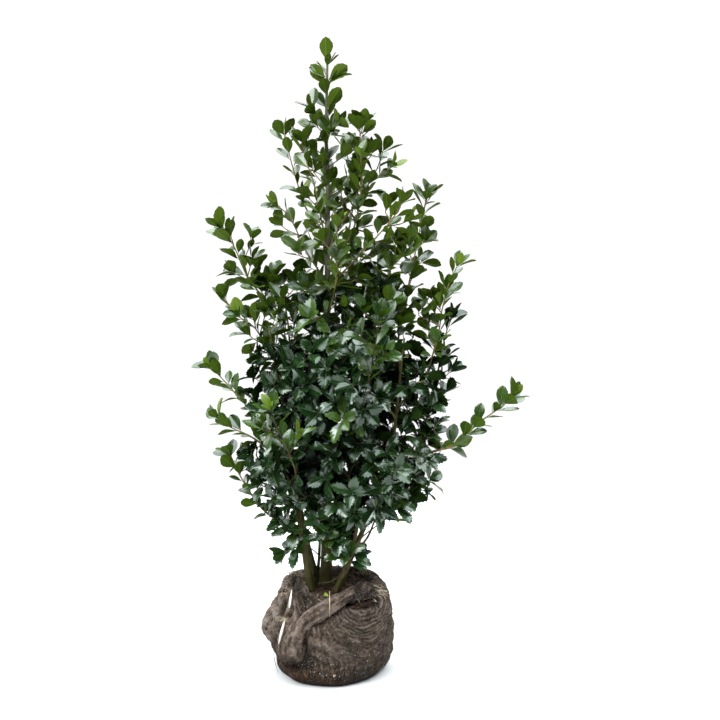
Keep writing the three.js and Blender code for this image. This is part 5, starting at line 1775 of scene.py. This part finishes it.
# the pale tie: a flat strip in two lengths, narrow at its ends
for marks, half in (([(-137, 216, 9), (-131, 203, 9), (-129, 186, 7)], 4.6), ([(-130, 160, 9), (-132, 132, 9), (-134, 103, 12)], 3.9)):
    q = resample(line_on_ball(marks), 16)
    t_, u_, v_ = frames(q)
    out_ = norm(q * [1, 1, 0])
    sidev = norm(np.cross(t_, out_))
    wv = (half * MM * np.interp(np.linspace(0, 1, 16), [0, 0.2, 0.5, 0.8, 1], [0.35, 0.8, 1.0, 0.75, 0.3]))[:, None]
    a1, b1 = q - sidev * wv, q + sidev * wv
    vv2 = np.vstack([a1, b1, a1 - out_ * 0.0008, b1 - out_ * 0.0008])
    n_ = 16
    fq = []
    for j in range(n_ - 1):
        fq += [(j, j + 1, n_ + j + 1, n_ + j), (2 * n_ + j, 3 * n_ + j, 3 * n_ + j + 1, 2 * n_ + j + 1),
               (j, 2 * n_ + j, 2 * n_ + j + 1, j + 1), (n_ + j, n_ + j + 1, 3 * n_ + j + 1, 3 * n_ + j)]
    fq += [(0, n_, 3 * n_, 2 * n_), (n_ - 1, 3 * n_ - 1, 4 * n_ - 1, 2 * n_ - 1)]
    bits.add(vv2, np.array(fq), 1)
# pale specks and a straw fleck on the front, and a fallen leaf on the soil
for k in range(110):
    deg, z = (-84 + frng.normal(0, 24), 26 + 62 * frng.random()) if k < 76 else (frng.random() * 360, 14 + 180 * frng.random())
    clod(bits, ball_point(deg, z, 0.4 + 3.0 * frng.random()), 0.0005 + 0.0009 * frng.random() ** 2, 4)
clod(bits, ball_point(-84, 33, 3.5), 0.0036, 0)
leaflet = np.array([(0, 0, 0), (5, -1.5, 2.2), (6.2, -0.5, 6.5), (3, 1.0, 11), (-1.8, 1.2, 13.5), (-4.8, 0.6, 9), (-5.2, -0.4, 4), (0.4, 1.6, 6)], float) * MM + [-0.005, -0.108, 0.2105]
bits.add(leaflet, np.array([(0, 1, 7), (1, 2, 7), (2, 3, 7), (3, 4, 7), (4, 5, 7), (5, 6, 7), (6, 0, 7)]), 3)
bits.add(leaflet + [0, 0.0008, 0], np.array([(1, 0, 7), (2, 1, 7), (3, 2, 7), (4, 3, 7), (5, 4, 7), (6, 5, 7), (0, 6, 7)]), 3)
bits_obj = bits.build("straw_ties_and_rootlets", [straw_mat, tie_mat, root_mat, green_bit, speck_mat, flat_material("rootlet_dark", (0.020, 0.014, 0.010)), flat_material("rootlet_pale", (0.165, 0.118, 0.076))])
print("scene: bits", bits.tris(), "soil", soil_soup.tris(), "ball", ball_soup.tris())
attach(bits_obj, "root")

# =====================================================================================
# floor
# =====================================================================================
fm, nt, b = new_material("floor")
tc = nt.nodes.new("ShaderNodeTexCoord").outputs["Object"]
fn = noise(nt, tc, 1.5, 3, 0.5)
fc = ramp(nt, [(0.3, (0.53, 0.53, 0.53)), (0.7, (0.55, 0.55, 0.55))], fn.outputs["Fac"])
nt.links.new(fc.outputs[0], b.inputs["Base Color"])
b.inputs["Roughness"].default_value = 0.9
b.inputs["Specular IOR Level"].default_value = 0.1
def stage_object(name, verts, faces, mat):
    me = bpy.data.meshes.new(name)
    me.from_pydata([tuple(p) for p in verts], [], [tuple(q) for q in faces])
    me.materials.append(mat)
    o = bpy.data.objects.new(name, me)
    scene.collection.objects.link(o)
    return o


SIDES = 96
ring = [(2.4 * math.cos(2 * math.pi * k / SIDES), 2.4 * math.sin(2 * math.pi * k / SIDES), -0.0015) for k in range(SIDES)]
floor = stage_object("floor", ring, [list(range(SIDES))], fm)

# the white of the studio all round, for the camera alone; the sky above does the lighting
dm, dt, db = new_material("backdrop")
db.inputs["Base Color"].default_value = (0, 0, 0, 1)
db.inputs["Specular IOR Level"].default_value = 0.0
db.inputs["Emission Color"].default_value = (1, 1, 1, 1)
db.inputs["Emission Strength"].default_value = 1.08
RINGS, AROUND, RADIUS = 16, 32, 14.0
dome_v = [(RADIUS * math.sin(math.pi * (a + 0.5) / RINGS) * math.cos(2 * math.pi * b_ / AROUND), RADIUS * math.sin(math.pi * (a + 0.5) / RINGS) * math.sin(2 * math.pi * b_ / AROUND),
           RADIUS * math.cos(math.pi * (a + 0.5) / RINGS)) for a in range(RINGS) for b_ in range(AROUND)]
dome_f = [(a * AROUND + b_, a * AROUND + (b_ + 1) % AROUND, (a + 1) * AROUND + (b_ + 1) % AROUND, (a + 1) * AROUND + b_) for a in range(RINGS - 1) for b_ in range(AROUND)]
dome_f += [list(range(AROUND)), [(RINGS - 1) * AROUND + b_ for b_ in range(AROUND)]]
dome = stage_object("backdrop", dome_v, dome_f, dm)
dome.visible_diffuse = dome.visible_glossy = dome.visible_transmission = dome.visible_volume_scatter = dome.visible_shadow = False
